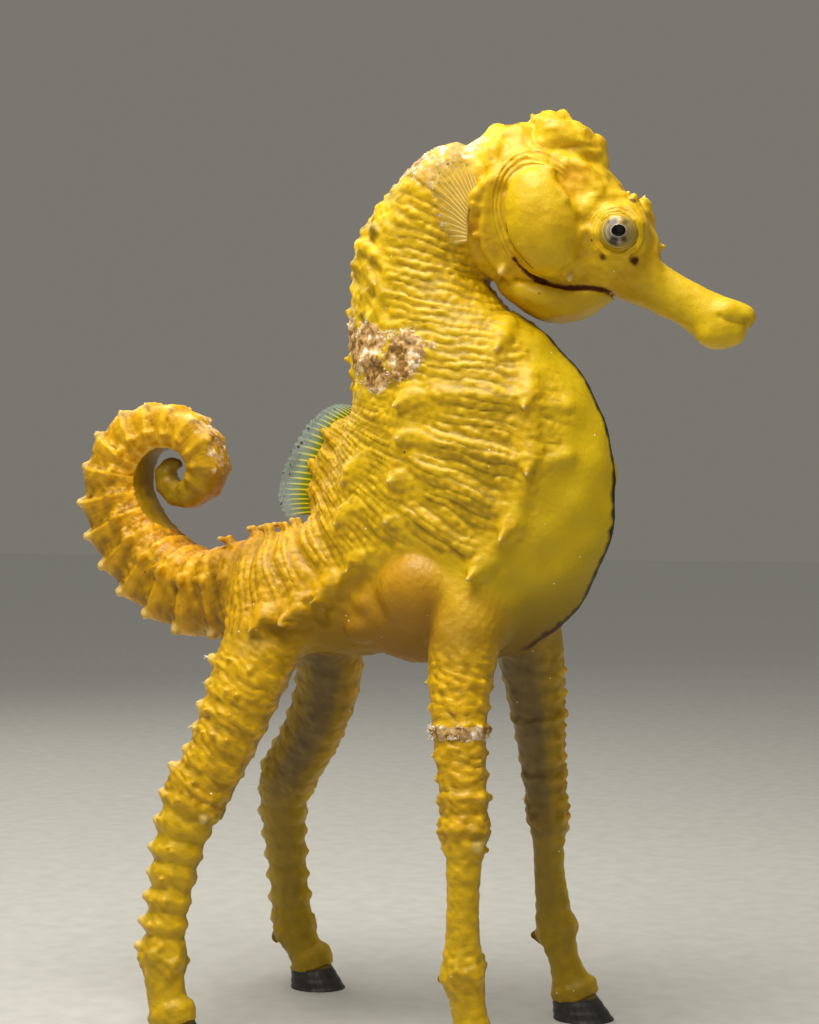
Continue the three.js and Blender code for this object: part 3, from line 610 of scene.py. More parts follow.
    # warts down the back: x, z, height, radius
    back_cones: Rows = (
        (-2.6, 128.6, 1.3, 2.2), (-5.4, 121.6, 1.3, 2), (-5.6, 115.2, 1.9, 2), (-5.2, 107.6, 2.6, 1.9),
        (-5, 103, 1.9, 1.7), (-8, 95.9, 1.8, 1.9), (-10.8, 91, 1.8, 2), (-12.4, 86.4, 1.5, 1.8))
    # where the flank's wrinkles give way to the smooth underside: x, z
    hem: Rows = (
        (-22, 62.5), (-15.3, 64.6), (-10.4, 66.4), (-5.9, 69.6), (-0.2, 74), (4, 76.6), (10, 78.9),
        (16, 76.4), (21, 72.5), (40, 70))
    # and where they give way to the smooth belly: z, x
    front: Rows = (
        (60, 12), (70, 17), (74, 21), (80, 26), (90, 31), (100, 31), (108, 26), (116, 20.8), (124, 17.5),
        (134, 19))
    # lines round which cones and folds draw the skin smooth: start, stop, how far
    stretched: list[tuple[Array, Array, float]] = field(default_factory=list)

    def flank(self, flesh: Flesh, places: Rows | Array, side: float, sink: float = 0.0) -> Array:
        """Points of one flank at places x, z seen from the side, sunk a little into it."""
        x, z = np.asarray(places, float).T
        starts = np.stack([x, np.full(len(x), side * 24.0), z], axis=1)
        return flesh.touch(starts, (0.0, -side, 0.0)) - np.array([0, side * sink, 0])

    def join(self, flesh: Flesh) -> None:
        """Join the trunk, rump and the fin's mound."""
        flesh.join("torso", ribbed(self.ribs, 240, 180), Blend.SOFT)
        flesh.join("torso", ribbed(self.rump, 160, 140), Blend.BROAD)
        flesh.join("torso", ellipsoid((-8.6, 0, 90.2), (3.8, 2.6, 8.6), lean=17), Blend.BROAD)

    def join_ridges(self, flesh: Flesh) -> None:
        """Raise the rows of cones and the folds that run between them."""
        for side in SIDES.values():
            for *ends, height, radius in self.cones:
                start, stop = self.flank(flesh, np.reshape(ends, (2, 2)), side)
                out = unit((0.0, side, -0.25) if ends[0] > 3 else (-0.30, side, -0.45))
                middle = self.flank(flesh, (start * 0.35 + stop * 0.65)[None, [0, 2]], side)[0]
                flesh.knob(
                    Blend.SOFT, start - out * 0.7, middle - out * (radius - 0.45 * height), 0.7, radius)
                flesh.knob(Blend.FIRM, middle - out * (radius - 0.35 * height), stop + out * (height - 0.3),
                           radius, 0.3, pale=True)
                self.stretched.append((start, stop, 2.3 * radius))
            for *ends, radius in self.folds:
                start, stop = self.flank(flesh, np.reshape(ends, (2, 2)), side)
                line = start + (stop - start) * np.linspace(0, 1, 9)[:, None]
                path = self.flank(flesh, line[:, [0, 2]], side, 0.55 * radius)
                flesh.ridge(Blend.SOFT, path, radius)
                self.stretched += [(one, other, 1.5 * radius) for one, other in zip(path[:-2:2], path[2::2])]
            for radius, path in self.scutes:
                flesh.ridge(Blend.FIRM, self.flank(flesh, through(path, 14), side, 0.3 * radius), radius)
        rows = np.array(self.back_cones)
        starts = np.stack([rows[:, 0] - 9.0, 0 * rows[:, 0], rows[:, 1]], axis=1)
        out = unit((-1.0, 0.0, 0.3))
        for foot, (height, radius) in zip(flesh.touch(starts, (1.0, 0.0, 0.0)), rows[:, 2:]):
            flesh.knob(Blend.SOFT, foot - out * 1.2, foot + out * (height - 0.4), radius, 0.45)

    def stretch(self, points: Array) -> Array:
        """How far cones and folds draw the skin smooth round them, 0 to 1."""
        smooth = np.zeros(len(points))
        for start, stop, reach in self.stretched:
            near = (np.abs(points - (start + stop) / 2) < np.abs(stop - start) / 2 + reach).all(axis=1)
            gap = along_line(points[near], start, stop)[1]
            smooth[near] = np.maximum(smooth[near], ease(gap, reach, 0.35 * reach))
        return smooth

    def place_in_fan(self, points: Array) -> tuple[Array, Array]:
        """Find where points lie in the fan of wrinkles.

        Args:
            points: Points of the trunk.

        Returns:
            Millimetres across the lines from the nape, and millimetres along them from the back.
        """
        start, stop = np.split(np.array(self.fan), 2, axis=1)
        along = unit(stop - start)
        normal = np.stack([along[:, 1], -along[:, 0]], axis=1)
        gaps = np.linalg.norm(np.diff(start * 0.3 + stop * 0.7, axis=0), axis=1)
        place = np.concatenate([[0], np.cumsum(gaps)])
        flat = points[:, [0, 2]]
        beyond = np.stack([(flat - s) @ n for s, n in zip(start, normal)], axis=1)
        last = np.clip((beyond >= 0).cumprod(axis=1).sum(axis=1) - 1, 0, len(start) - 2)
        rows = np.arange(len(points))
        here, gap = beyond[rows, last], beyond[rows, last] - beyond[rows, last + 1]
        share = np.clip(here / np.where(np.abs(gap) < 1e-6, 1e-6, gap), -0.5, 1.5)
        across = place[last] + share * (place[last + 1] - place[last])
        return across, np.einsum("ij,ij->i", flat - start[last], along[last])

    def wrinkle(self, points: Array, paint: Paint, share: Array) -> Array:
        """Wrinkle the flanks and paint the trunk.

        Args:
            points: Points of the skin.
            paint: The paint to add to.
            share: How far each point belongs to the trunk.

        Returns:
            Height to add at each point, mm.
        """
        x, y, z = points.T
        across, along = self.place_in_fan(points)
        ripple = Ripples(points)
        drawn_out = Ripples(np.stack([along * 0.35, y * 0.5 + 40 * np.sign(y), across], axis=1))
        front = np.interp(z, *np.array(self.front).T) + 1.1 * ripple(3.4, 2)
        above = z - np.interp(x, *np.array(self.hem).T) + 0.8 * ripple(3.0, 16)
        strip = ease(x, 6.5, 2.0) * ease(z, 98.0, 104.0)
        flank = ease(x - front, 4.2, -2.4) * ease(above, -1.0, 1.2) * (1 - strip)
        bare = 1 - flank
        rear = ease(x + 0.3 * (z - 80), 0.0, -8.0)
        swing = 1.1 * np.tanh(1.6 * ripple(9, 3)) + 0.7 * drawn_out(4.2, 4)
        phase = TURN * across / self.pitch + swing
        broken = ease(drawn_out(2.0, 5), -1.1, 0.5)
        beads = 0.78 + 0.22 * np.clip(ripple(1.5, 6), -1.5, 1.5)
        stretched = self.stretch(points)
        rope = ridge(phase) * (0.25 + 0.75 * broken) * beads
        rope = rope + (0.75 - rope) * 0.85 * stretched
        creases = ridge(phase * 0.8 + 0.5) * ease(x - front, 7.0, 0.5) * bare
        rings = ridge(TURN * across / 5.4 + 0.4 * swing, 1.0)
        height = flank * (self.depth * (rope - 0.5) + 0.5 * rear * (rings - 0.6))
        height -= 0.7 * ease(above, 0.8, -0.8) * ease(above, -6.0, -2.0) * ease(x, 6.0, 1.0)
        height += bare * 0.09 * creases * ease(ripple(3.4, 7), -0.5, 1.0)
        height += strip * (0.26 * ripple(3.0, 8) + 0.08 * ripple(1.2, 12))
        height += 0.035 * ripple(1.1, 9) * flank
        height += bare * (1 - strip) * 0.14 * ripple(6.5, 13)
        groove = ease(ridge(phase) * (0.45 + 0.55 * broken), 0.0, 0.7) * (1 - 0.35 * rear * (1 - rings))
        groove = groove + (1 - groove) * 0.85 * stretched
        under = ease(x, 19.0, 10.0) * ease(above, 0.4, -1.6)
        # painted shade: the belly's olive deepens towards the bottom
        low = ease(z + 0.35 * (38 - x), 90, 62)
        width = 0.55 + 0.14 * ripple(2.6, 15)
        width = width + ease(z, 74, 65) * np.clip(0.35 + 0.4 * ripple(1.3, 11), 0, 1)
        keel = ease(np.abs(y), width + 0.25, width - 0.15) * ease(x, 22.5, 25.5) * ease(z, 116.5, 113.0)
        plain = 0.62 + 0.07 * ripple(5, 10) - strip * 0.12 * (1 + ripple(2.6, 14))
        # painted shade in the flank's grooves, a little lighter higher up, and low on the belly and under the
        # rump
        paint.add(
            share, keel=keel,
            relief=flank * (0.235 + 0.03 * ease(z, 90, 112) + 0.45 * groove * beads) + bare * plain,
            smooth=bare * (1 - 0.8 * strip),
            dark=bare * (0.68 * ease(z + 0.2 * (38 - x), 77, 61) * (1 - under)
                         + 0.44 * under * ease(z, 75, 62)),
            olive=(0.12 * flank + bare * (0.04 + 0.75 * low**1.5)) * (1 - 0.5 * strip),
            warm=np.maximum(ease(x + 0.4 * (z - 80), 8, -18) * 0.5, under * 0.6),
            line_phase=TURN * across / 0.8 + 2.0 * swing,
            line_depth=flank * 0.12 * (1 - stretched))
        return share * (height + 0.22 * keel)


@dataclass
class Crust:
    """A patch where pinkish growth covers the skin."""

    lobes: tuple[tuple[Place, Place], ...]  # middle and half sizes of each lobe
    strength: float
    grainy: float  # how rough it is

    def spread(self, points: Array) -> Array:
        """How thickly the growth lies at points, 0 to 1, with a ragged edge."""
        far = np.min([np.linalg.norm((points - np.array(middle)) / np.array(halves), axis=1)
                      for middle, halves in self.lobes], axis=0)
        ripple = Ripples(points)
        return self.strength * ease(far + 0.10 * ripple(3.0, 21) + 0.05 * ripple(1.0, 22), 1.12, 0.80)


CRUSTS = {
    "shoulder": Crust((((8.6, -9.5, 107.4), (3.3, 7.0, 4.0)), ((1.6, -5.0, 108.6), (4.6, 8.0, 4.8)),
                       ((3.4, -7.0, 104.0), (3.0, 7.0, 2.4)), ((-3.6, -2.0, 111.6), (2.6, 6.0, 3.2)),
                       ((13.0, -9.5, 108.8), (0.7, 3.0, 0.7))), 1.0, 0.55),
    "shoulder_far": Crust(
        (((7.6, 9.5, 107.0), (3.0, 7.0, 3.4)), ((1.8, 5.0, 108.0), (4.0, 7.0, 4.0))), 1.0, 0.6),
    "nape": Crust((((5.6, -1.0, 138.6), (5.6, 7.5, 3.0)),), 0.62, 0.6),
    "frill": Crust(
        (((15.0, -4.0, 139.8), (5.4, 5.5, 2.4)), ((11.0, -7.5, 136.4), (3.4, 4.0, 3.0))), 0.36, 0.3),
    "shin_band": Crust((((20.2, -14.9, 50.2), (7.0, 7.0, 1.0)),), 0.85, 1.0),
}


@dataclass
class Pouch:
    """The brood pouch: a full bag on each side of the belly, with a small lobe behind it."""

    # forms on each side, pressed to the flank: middle, half sizes, lean, fillet
    lobes: tuple[tuple[Place, Place, float, Blend], ...] = (
        ((10.8, 8.9, 71.2), (7.4, 6.6, 6.9), 4, Blend.BAG),
        ((2.0, 8.7, 69.0), (2.5, 3.2, 2.2), -20, Blend.FIRM),
        ((0.6, 8.0, 65.3), (3.2, 3.4, 2.6), -20, Blend.FIRM))

    def join(self, flesh: Flesh) -> None:
        """Join the bag and its lobes, with a crease where they press on the flank."""
        flesh.join("pouch", ellipsoid((7.0, 0, 68.0), (11.8, 12.4, 8.8), lean=6), Blend.SOFT)
        for side in SIDES.values():
            for (x, y, z), halves, lean, blend in self.lobes:
                flesh.join("pouch", ellipsoid((x, side * y, z), halves, lean), blend)

    def wrinkle(self, points: Array, paint: Paint, share: Array) -> Array:
        """Paint the pouch, with painted shade at its bottom, and give it faint folds; returns the height to
        add, mm.
        """
        folds = Ripples(points * np.array([1.0, 1.0, 0.6]))(4.5, 31)
        shoulder = ease(points[:, 0], 13.5, 19.0)
        # olive and dark are painted shade, deepening towards the bottom of the pouch
        paint.add(share, relief=0.60 + 0.06 * folds, warm=0.95 - 0.5 * shoulder, smooth=1 - 0.4 * shoulder,
                  olive=0.35 * ease(points[:, 2], 70, 60), dark=0.40 * ease(points[:, 2], 74, 61))
        return share * (0.07 * folds + 0.03 * Ripples(points)(1.2, 32))


class Tail(Limb):
    """The square tail in its coil, with a scute on each corner of each ring."""

    STATIONS = (
        (-19.6, 0, 70.3, 8.6, 9), (-26.5, 0, 70.1, 7.8, 8.1), (-32.2, 0, 69.6, 7, 7.2),
        (-37.2, 0, 70.8, 6.7, 6.7), (-42.2, 0, 73.6, 6.4, 6.3), (-46.3, 0, 77.6, 6.1, 5.9),
        (-49.2, 0, 82.2, 5.8, 5.5), (-50.5, 0, 87.2, 5.4, 5.1), (-49.6, 0, 92.2, 5, 4.8),
        (-46.6, 0, 96, 4.4, 4.3), (-42, 0, 97.6, 3.8, 3.9), (-37.4, 0, 96.8, 3.5, 3.6),
        (-34.2, 0.1, 94.2, 3.4, 3.4), (-33.1, 0.2, 90.9, 3.3, 3.3), (-34.4, 0.3, 87.9, 2.9, 3),
        (-37.2, 0.4, 86.2, 2.3, 2.4), (-40, 0.6, 86.8, 1.9, 2), (-41.5, 0.7, 88.9, 1.75, 1.8),
        (-41, 0.8, 90.9, 1.35, 1.4), (-39.7, 0.9, 91.3, 1, 1), (-39.2, 0.9, 90.6, 0.7, 0.7))
    OUTER_CORNER, INNER_CORNER = 138.0, 74.0
    HOOP = (52, 75, 98, 120, 138, 160, 180)  # degrees round each side of a ring's raised edge
    # finger-like flaps on the tail's root: foot x, foot z, tip x, tip z, y
    FLAPS = (
        (-25.2, 75.4, -27.8, 77.4, -4.6), (-22, 76.4, -23.4, 78.2, -3), (-17.8, 77.2, -20.2, 78.6, -4.8),
        (-15.6, 77.8, -18.4, 79.8, -3.4), (-13.6, 78.4, -14.8, 79.8, -4), (-23.6, 75.8, -25.4, 77.6, 4.2),
        (-19.4, 76.8, -21.6, 78.6, 3.6), (-14.8, 78, -17, 79.6, 4.4))

    def __init__(self) -> None:
        """Lay the coil and count its rings, which grow shorter as it thins."""
        super().__init__(self.STATIONS, 3.0, 640)
        pitch = np.minimum(5.0, 0.55 * self.depth + 1.35)
        self.ring = np.concatenate([[0], np.cumsum(np.diff(self.reach) / pitch[1:])])

    def join(self, flesh: Flesh) -> None:
        """Join the coil to the rump."""
        flesh.join("tail", self.solid(80), Blend.BROAD)

    def join_scutes(self, flesh: Flesh) -> None:
        """Raise the scutes on the corners, the folds between them and the flaps on the root."""
        draw = np.random.default_rng(41)
        for ring in range(1, int(self.ring[-1])):
            reach = float(np.interp(ring, self.ring, self.reach))
            size = float(np.interp(reach, self.reach, self.depth))
            if size < 1.5:
                break
            here = np.searchsorted(self.reach, reach)
            along, centre = self.along[here], self.centre[here]
            bold = reach < 62
            fade = min(1.0, max(0.25, (reach - 2.0) / 10.0)) * (1.0 if size > 3.2 else 0.45)
            for sign in (-1, 1):
                outer, out = self.surface(reach, sign * self.OUTER_CORNER)
                lean = unit(out - 0.25 * along)
                height = size * draw.uniform(0.09, 0.17) * fade * (1.0 if bold else 0.55)
                flesh.knob(Blend.FIRM, outer - lean * 0.22 * size - along * 0.12 * size,
                           outer + lean * height, size * 0.27, size * 0.13, pale=bold)
                inner, up = self.surface(reach, sign * self.INNER_CORNER)
                lobe = size * draw.uniform(0.06, 0.14) * (1.0 if 12 < reach < 56 else 0.0)
                flesh.knob(Blend.FIRM, inner - up * 0.18 * size, inner + up * lobe, size * 0.30, size * 0.17)
                hoop = np.array([self.surface(reach, sign * angle)[0] for angle in self.HOOP])
                flesh.ridge(Blend.FIRM, centre + (hoop - centre) * (0.965 if bold else 0.94), size * 0.10)
        for foot_x, foot_z, tip_x, tip_z, y in self.FLAPS:
            top = flesh.touch(np.array([[foot_x, y, foot_z + 8]]), (0.0, 0.0, -1.0))[0]
            tip = np.array([tip_x, y * 1.08, max(tip_z, top[2] + 1.2)])
            bend = (top + tip) / 2 + np.array([0.3, 0.0, 0.5])
            flesh.knob(Blend.FIRM, top - UP * 0.5, bend, 1.0, 0.68)
            flesh.knob(Blend.CRISP, bend, tip, 0.68, 0.42, pale=True)

    def wrinkle(self, points: Array, paint: Paint, share: Array) -> Array:
        """Wrinkle and paint the tail.

        Args:
            points: Points of the skin.
            paint: The paint to add to.
            share: How far each point belongs to the tail.

        Returns:
            Height to add at each point, mm.
        """
        reach, angle, size = self.locate(points)
        angle, ripple = np.abs(angle), Ripples(points)
        ring = np.interp(reach, self.reach, self.ring)
        rise = np.mod(ring, 1.0)
        inner = ease(angle, 1.9, 0.9)
        slim = np.clip(size / 6.0, 0.25, 1.0)
        saw = ease(rise, 0.0, 0.86) * ease(rise, 1.0, 0.92)
        plated = ease(reach, 4, 14) * (1 - 0.72 * ease(reach, 52, 72))
        band = ridge(TURN * ring, 0.9)
        swing = 0.6 * ripple(5.0, 42)
        fine = ridge(TURN * reach / (1.25 * slim + 0.25) + swing)
        broken = ease(ripple(2.6, 43), -1.2, 0.6)
        height = slim * (0.10 * (band - 0.5) + inner * 0.18 * (fine - 0.5) * (0.3 + 0.7 * broken))
        height += slim * plated * 0.95 * (saw - 0.45) * (1 - 0.7 * inner)
        height += slim * (0.04 * ripple(1.6, 44) + 0.03 * ripple(0.9, 45)) * (1 + 1.2 * (1 - saw))
        # painted light: the coil's inner wall, which lies in shade, is painted lighter, and the coil lighter
        # as it rises
        wall = ease(angle, 0.9, 0.3) * ease(reach, 30, 50)
        worn = ease(np.hypot(points[:, 0] + 31.0, points[:, 2] - 95.5), 8.0, 3.5) * ease(angle, 1.9, 2.6)
        paint.add(
            share,
            relief=np.clip(0.13 + 0.34 * saw * plated + 0.12 * band + 0.14 * fine * inner + 0.9 * wall
                           + 0.06 * ripple(2, 46) + 0.22 * ease(reach, 34, 56), 0, 1),
            warm=0.56 + 0.44 * ease(angle, 1.3, 0.3),
            olive=0.75 * ease(reach, self.length - 26, self.length - 8),
            crust=worn * ease(ripple(2.4, 47), -1.2, 0.6) * 0.55,
            line_phase=TURN * reach / 0.7 + 2 * swing, line_depth=0.12)
        return share * height


@dataclass
class LegStyle:
    """How a pair of legs is ringed and spined; sizes in mm, angles in degrees from the back edge."""

    pitch: float  # between rings
    ringed_below: float  # height where the rings begin
    ringed_to: float  # share of the leg's length where they end
    ring_depth: float
    spine: float  # height of the spines down the back edge
    spine_radius: float
    spine_tip: float
    back_angle: float
    front_spine: float  # height of the spines down the front edge
    front_radius: float
    front_angle: float
    wart: float  # height of the warts on each ring
    wart_radius: float
    shin_warts: int  # how many tiny warts crowd the shin
    bands: Rows  # raised rings: height above the floor, swell
    faded_at: float  # middle and half width of the faded stripe down the inner side
    faded_half: float


class Leg(Limb):
    """One leg: ringed and spined above, knobbly at the knee and the fetlock."""

    WART_ANGLES = (26, 46, 66, 88)  # degrees round from the spines
    # lumps round the knee and the fetlock: degrees from the back edge, height, radius
    LUMPS = ((95, 0.6, 1.3), (150, 0.7, 1.4), (35, 0.5, 1.2), (-60, 0.5, 1.2), (-140, 0.5, 1.2))

    def __init__(self, name: str, sole: Place, style: LegStyle, seed: int, path: Rows) -> None:
        """Lay the leg's spine.

        Args:
            name: Which leg, such as front_right.
            sole: Middle x, y and half length of the hoof's sole.
            style: How it is ringed.
            seed: Start of its random draws.
            path: Stations of x, y, z and radius from the body to the hoof's crown.
        """
        (x, y, z, radius), last = path[0], path[-1]
        root = (x, y * 0.5, z + 5.5, radius * 0.5)
        crown = (last[0], last[1], last[2] + 0.4, last[3] + 0.30)
        below = (*(last[k] + (sole[k] - last[k]) * 0.45 for k in (0, 1)), last[2] - 1.5, last[3] + 0.05)
        rows = [(x, y, z, r * 1.04, r * 0.96) for x, y, z, r in [root, *path[:-1], crown, below]]
        super().__init__(rows, 2.0, 420)
        self.name, self.crown, self.sole, self.style, self.seed = name, last, sole, style, seed
        self.outer = 1.0 if name.endswith("right") else -1.0
        self.knee, self.fetlock = self.station_reach[6], self.station_reach[10]
        self.ringed_from = self.reach_at(style.ringed_below)

    def reach_at(self, height: float) -> float:
        """How far down the leg a height above the floor lies."""
        return float(np.interp(-height, -self.centre[:, 2], self.reach))

    def join(self, flesh: Flesh) -> None:
        """Join the leg to the body."""
        flesh.join(self.name, self.solid(56), Blend.HIP)

    def join_spines(self, flesh: Flesh) -> None:
        """Raise the rings' spines and warts, and the bumps of the knee and the fetlock."""
        draw = np.random.default_rng(self.seed)
        style, outer = self.style, self.outer
        worn, bold = (0.6, 1.35) if "left" in self.name else (1.0, 1.0)
        self.spine_tips = []
        for reach in np.arange(self.ringed_from, style.ringed_to * self.length, style.pitch):
            for sign in (-1, 1):
                height = style.spine * draw.uniform(0.55, 1.2) * (1.0 if sign == outer else 0.8) * worn
                self.spine_tips.append(self.spine(flesh, reach, sign * style.back_angle, height,
                                                  style.spine_radius, style.spine_tip, pale=True))
                self.spine(flesh, reach + draw.uniform(-0.3, 0.3), sign * style.front_angle,
                           style.front_spine, style.front_radius, 0.25)
            self.spine(flesh, reach + 0.5 * style.pitch, outer * (style.front_angle + 4),
                       style.front_spine * 0.7, style.front_radius * 0.8, 0.25)
            for degrees in self.WART_ANGLES:
                if draw.uniform() < 0.8:
                    self.spine(flesh, reach + draw.uniform(-0.6, 0.6),
                               outer * (style.back_angle + degrees + draw.uniform(-6, 6)),
                               style.wart * draw.uniform(0.5, 1.3) * worn, style.wart_radius, 0.2,
                               Blend.CRISP)
        for _ in range(style.shin_warts):
            reach = draw.uniform(self.knee + 3.0, self.fetlock - 1.5)
            self.spine(flesh, reach, outer * draw.normal(96, 15), draw.uniform(0.16, 0.28), 0.3, 0.16,
                       Blend.CRISP)
        for degrees, height, radius in self.LUMPS:
            for joint, spread, rise in ((self.fetlock, 0.8, worn**2), (self.knee, 1.2, 0.4)):
                self.spine(flesh, joint + draw.uniform(-spread, spread), outer * degrees, height * rise,
                           radius, 0.8, Blend.SOFT)
        lump, out = self.surface(self.knee + 2.2, outer * 150)
        flesh.knob(Blend.FIRM, lump - out * 0.5, lump + out * 0.35, 0.9, 0.6, pale=True)
        heel, out = self.surface(self.fetlock + 0.6, 0.0)
        flesh.knob(Blend.FIRM, heel - out * 0.7, heel + out * 0.1 * bold - UP * 0.4, bold, 0.8 * bold)
        self.ergot = heel + out * 0.6 * bold - UP * 0.4

    def spine(self, flesh: Flesh, reach: float, degrees: float, height: float, radius: float,
              tip_radius: float, blend: Blend = Blend.FIRM, pale: bool = False) -> Array:
        """Raise one spine or wart on the leg.

        Args:
            flesh: The flesh to raise it on.
            reach: Millimetres down the leg.
            degrees: Angle from the back edge.
            height: How far it stands out.
            radius: Its radius at the foot.
            tip_radius: Its radius at the tip.
            blend: The fillet round it.
            pale: Whether its tip is pale.

        Returns:
            Its tip.
        """
        foot, out = self.surface(reach, degrees)
        fall = self.along[np.searchsorted(self.reach, reach) - 1] * 0.15 * height
        tip = foot + out * (height - tip_radius) - fall
        flesh.knob(blend, foot - out * 0.7 * radius, tip, radius, tip_radius, pale=pale)
        return tip + out * tip_radius

    def wrinkle(self, points: Array, paint: Paint, share: Array) -> Array:
        """Wrinkle and paint the leg.

        Args:
            points: Points of the skin.
            paint: The paint to add to.
            share: How far each point belongs to this leg.

        Returns:
            Height to add at each point, mm.
        """
        reach, angle, _ = self.locate(points)
        style, start, knee, fetlock, z = self.style, self.ringed_from, self.knee, self.fetlock, points[:, 2]
        ripple = Ripples(points)
        inner = ease(-self.outer * np.sin(angle), -0.15, 0.55)
        off_stripe = np.abs(np.degrees(-self.outer * angle) - style.faded_at)
        faded = ease(off_stripe, style.faded_half + 20, style.faded_half - 20)
        fading = fetlock - 4 if style.ringed_to > 0.8 else knee + 2
        ringed = ease(reach, start - 3, start + 2) * ease(reach, fetlock - 1, fading)
        swing = 0.7 * ripple(4.0, self.seed + 1)
        ring = ridge(TURN * (reach - start) / style.pitch + 0.35 * swing, 1.0)
        fine = ridge(TURN * (reach + 1.1 * np.sin(angle * 2)) / 1.35 + swing * 1.6)
        broken = ease(ripple(2.2, self.seed + 2), -0.9, 0.8)
        knobbly = ease(np.abs(reach - knee), 6.0, 1.0) + ease(np.abs(reach - fetlock), 5.0, 1.0)
        upper = ease(reach, knee + 3, knee - 2)
        height = ringed * style.ring_depth * (ring - 0.5) * (1 - 0.5 * inner) * (1 - 0.6 * upper)
        height += (0.22 + 0.12 * upper) * (fine - 0.5) * broken * (0.25 + 0.75 * upper) * (1 - 0.8 * inner)
        for place, swell in style.bands:
            height += swell * ease(np.abs(reach - self.reach_at(place) + 0.25 * swing), 1.0, 0.1)
        height += (0.05 + 0.07 * knobbly) * ripple(1.7, self.seed + 3)
        # painted shade in the ring grooves, painted light on their crests, and the upper leg painted lighter
        # where more light falls
        paint.add(
            share, warm=0.24, olive=0.5 * inner, line_phase=TURN * reach / 0.62 + 3 * swing, line_depth=0.08,
            relief=np.clip(0.26 + 0.13 * ease(z, 46, 60) + 0.07 * ease(z, 26, 14) - 0.08 * inner
                           + 0.20 * ring * ringed + 0.12 * fine * broken
                           + 0.05 * ripple(2.4, self.seed + 5), 0, 1),
            drab=faded * (0.35 + 0.5 * ease(reach, knee + 8, knee - 8)) * ease(
                reach, fetlock + 2, fetlock - 6),
            dark=0.9 * ease(np.linalg.norm(points - self.ergot, axis=1), 1.7, 0.9),
            smooth=0.6 * ease(reach, knee, knee + 4))
        return share * height


FRONT_STYLE = LegStyle(
    pitch=3.5, ringed_below=57.0, ringed_to=0.60, ring_depth=0.16, spine=0.85, spine_radius=0.55,
    spine_tip=0.16, back_angle=22, front_spine=0.6, front_radius=0.5, front_angle=160, wart=0.28,
    wart_radius=0.42, shin_warts=34, bands=((50.2, 0.35), (40.4, 0.34), (35.4, 0.22)),
    faded_at=82.0, faded_half=44.0)
HIND_STYLE = LegStyle(
    pitch=3.8, ringed_below=57.5, ringed_to=0.88, ring_depth=0.56, spine=1.35, spine_radius=1.5,
    spine_tip=0.74, back_angle=24, front_spine=0.22, front_radius=0.45, front_angle=158, wart=0.72,
    wart_radius=0.62, shin_warts=8, bands=(), faded_at=112.0, faded_half=30.0)
LEGS = (
    Leg("front_right", (26.6, -20.7, 4.6), FRONT_STYLE, 101, (
        (17.8, -6.8, 69, 6.2), (18.4, -10, 64.2, 5.5), (18.8, -13, 55, 4.3), (19.8, -14.9, 47, 3.65),
        (20.9, -16.3, 40.8, 3.35), (21.4, -17.2, 35.8, 3.3), (21.7, -18, 31.4, 2.6),
        (21.8, -18.6, 25.8, 2.3), (22, -19.2, 20, 2.45), (22.3, -19.6, 15.6, 2.95), (23.2, -20, 10.8, 2.5),
        (24.2, -20.4, 7, 2.75), (24.9, -20.6, 4.6, 3.5))),
    Leg("front_left", (26.7, 20.1, 4.7), FRONT_STYLE, 111, (
        (20, 7, 68, 6.2), (20.9, 10.2, 61.5, 5.3), (21.2, 13, 51.6, 4.2), (21.3, 15, 42.6, 3.45),
        (21.4, 16.2, 37.4, 3.1), (21.4, 16.9, 33.4, 3.1), (21.5, 17.4, 29.2, 2.55), (21.4, 17.9, 24.3, 2.4),
        (21.8, 18.5, 18.8, 2.7), (22.2, 18.9, 14.8, 3.1), (23.3, 19.4, 10, 2.45), (24.2, 19.7, 6.8, 2.8),
        (24.8, 19.9, 4.6, 3.5))),
    Leg("hind_right", (-25.4, -21.9, 4.3), HIND_STYLE, 121, (
        (-15.4, -5.6, 71, 7.6), (-16.9, -9.8, 62.4, 6.3), (-18.4, -12.3, 56, 5.7), (-20.2, -14, 49.6, 5.1),
        (-22.6, -15.7, 43.2, 4.7), (-25.2, -17, 37.8, 4.6), (-26.8, -18.5, 32, 3.9),
        (-27.6, -19.8, 25.4, 3.3), (-28.2, -20.8, 18.6, 3.05), (-28.4, -21.2, 13, 3.3),
        (-27.9, -21.6, 9.2, 3), (-27.2, -21.8, 6.4, 3), (-26.6, -21.9, 4.6, 3.45))),
    Leg("hind_left", (-22.9, 20.9, 4.5), HIND_STYLE, 131, (
        (-14, 5.6, 69, 7), (-15.4, 9.8, 60.4, 5.7), (-16.2, 11.6, 55, 5.2), (-18.5, 13, 49.2, 4.9),
        (-22.2, 14.6, 43, 4.7), (-26.2, 15.8, 37.6, 4.5), (-27.9, 17.2, 31.8, 3.8),
        (-28.2, 18.8, 23.8, 3.25), (-28, 19.7, 16.6, 3.15), (-27.5, 20.3, 10.6, 3.4), (-26.2, 20.6, 7.6, 3),
        (-25.2, 20.8, 5.8, 3.1), (-24.6, 20.9, 4.6, 3.45))),
)


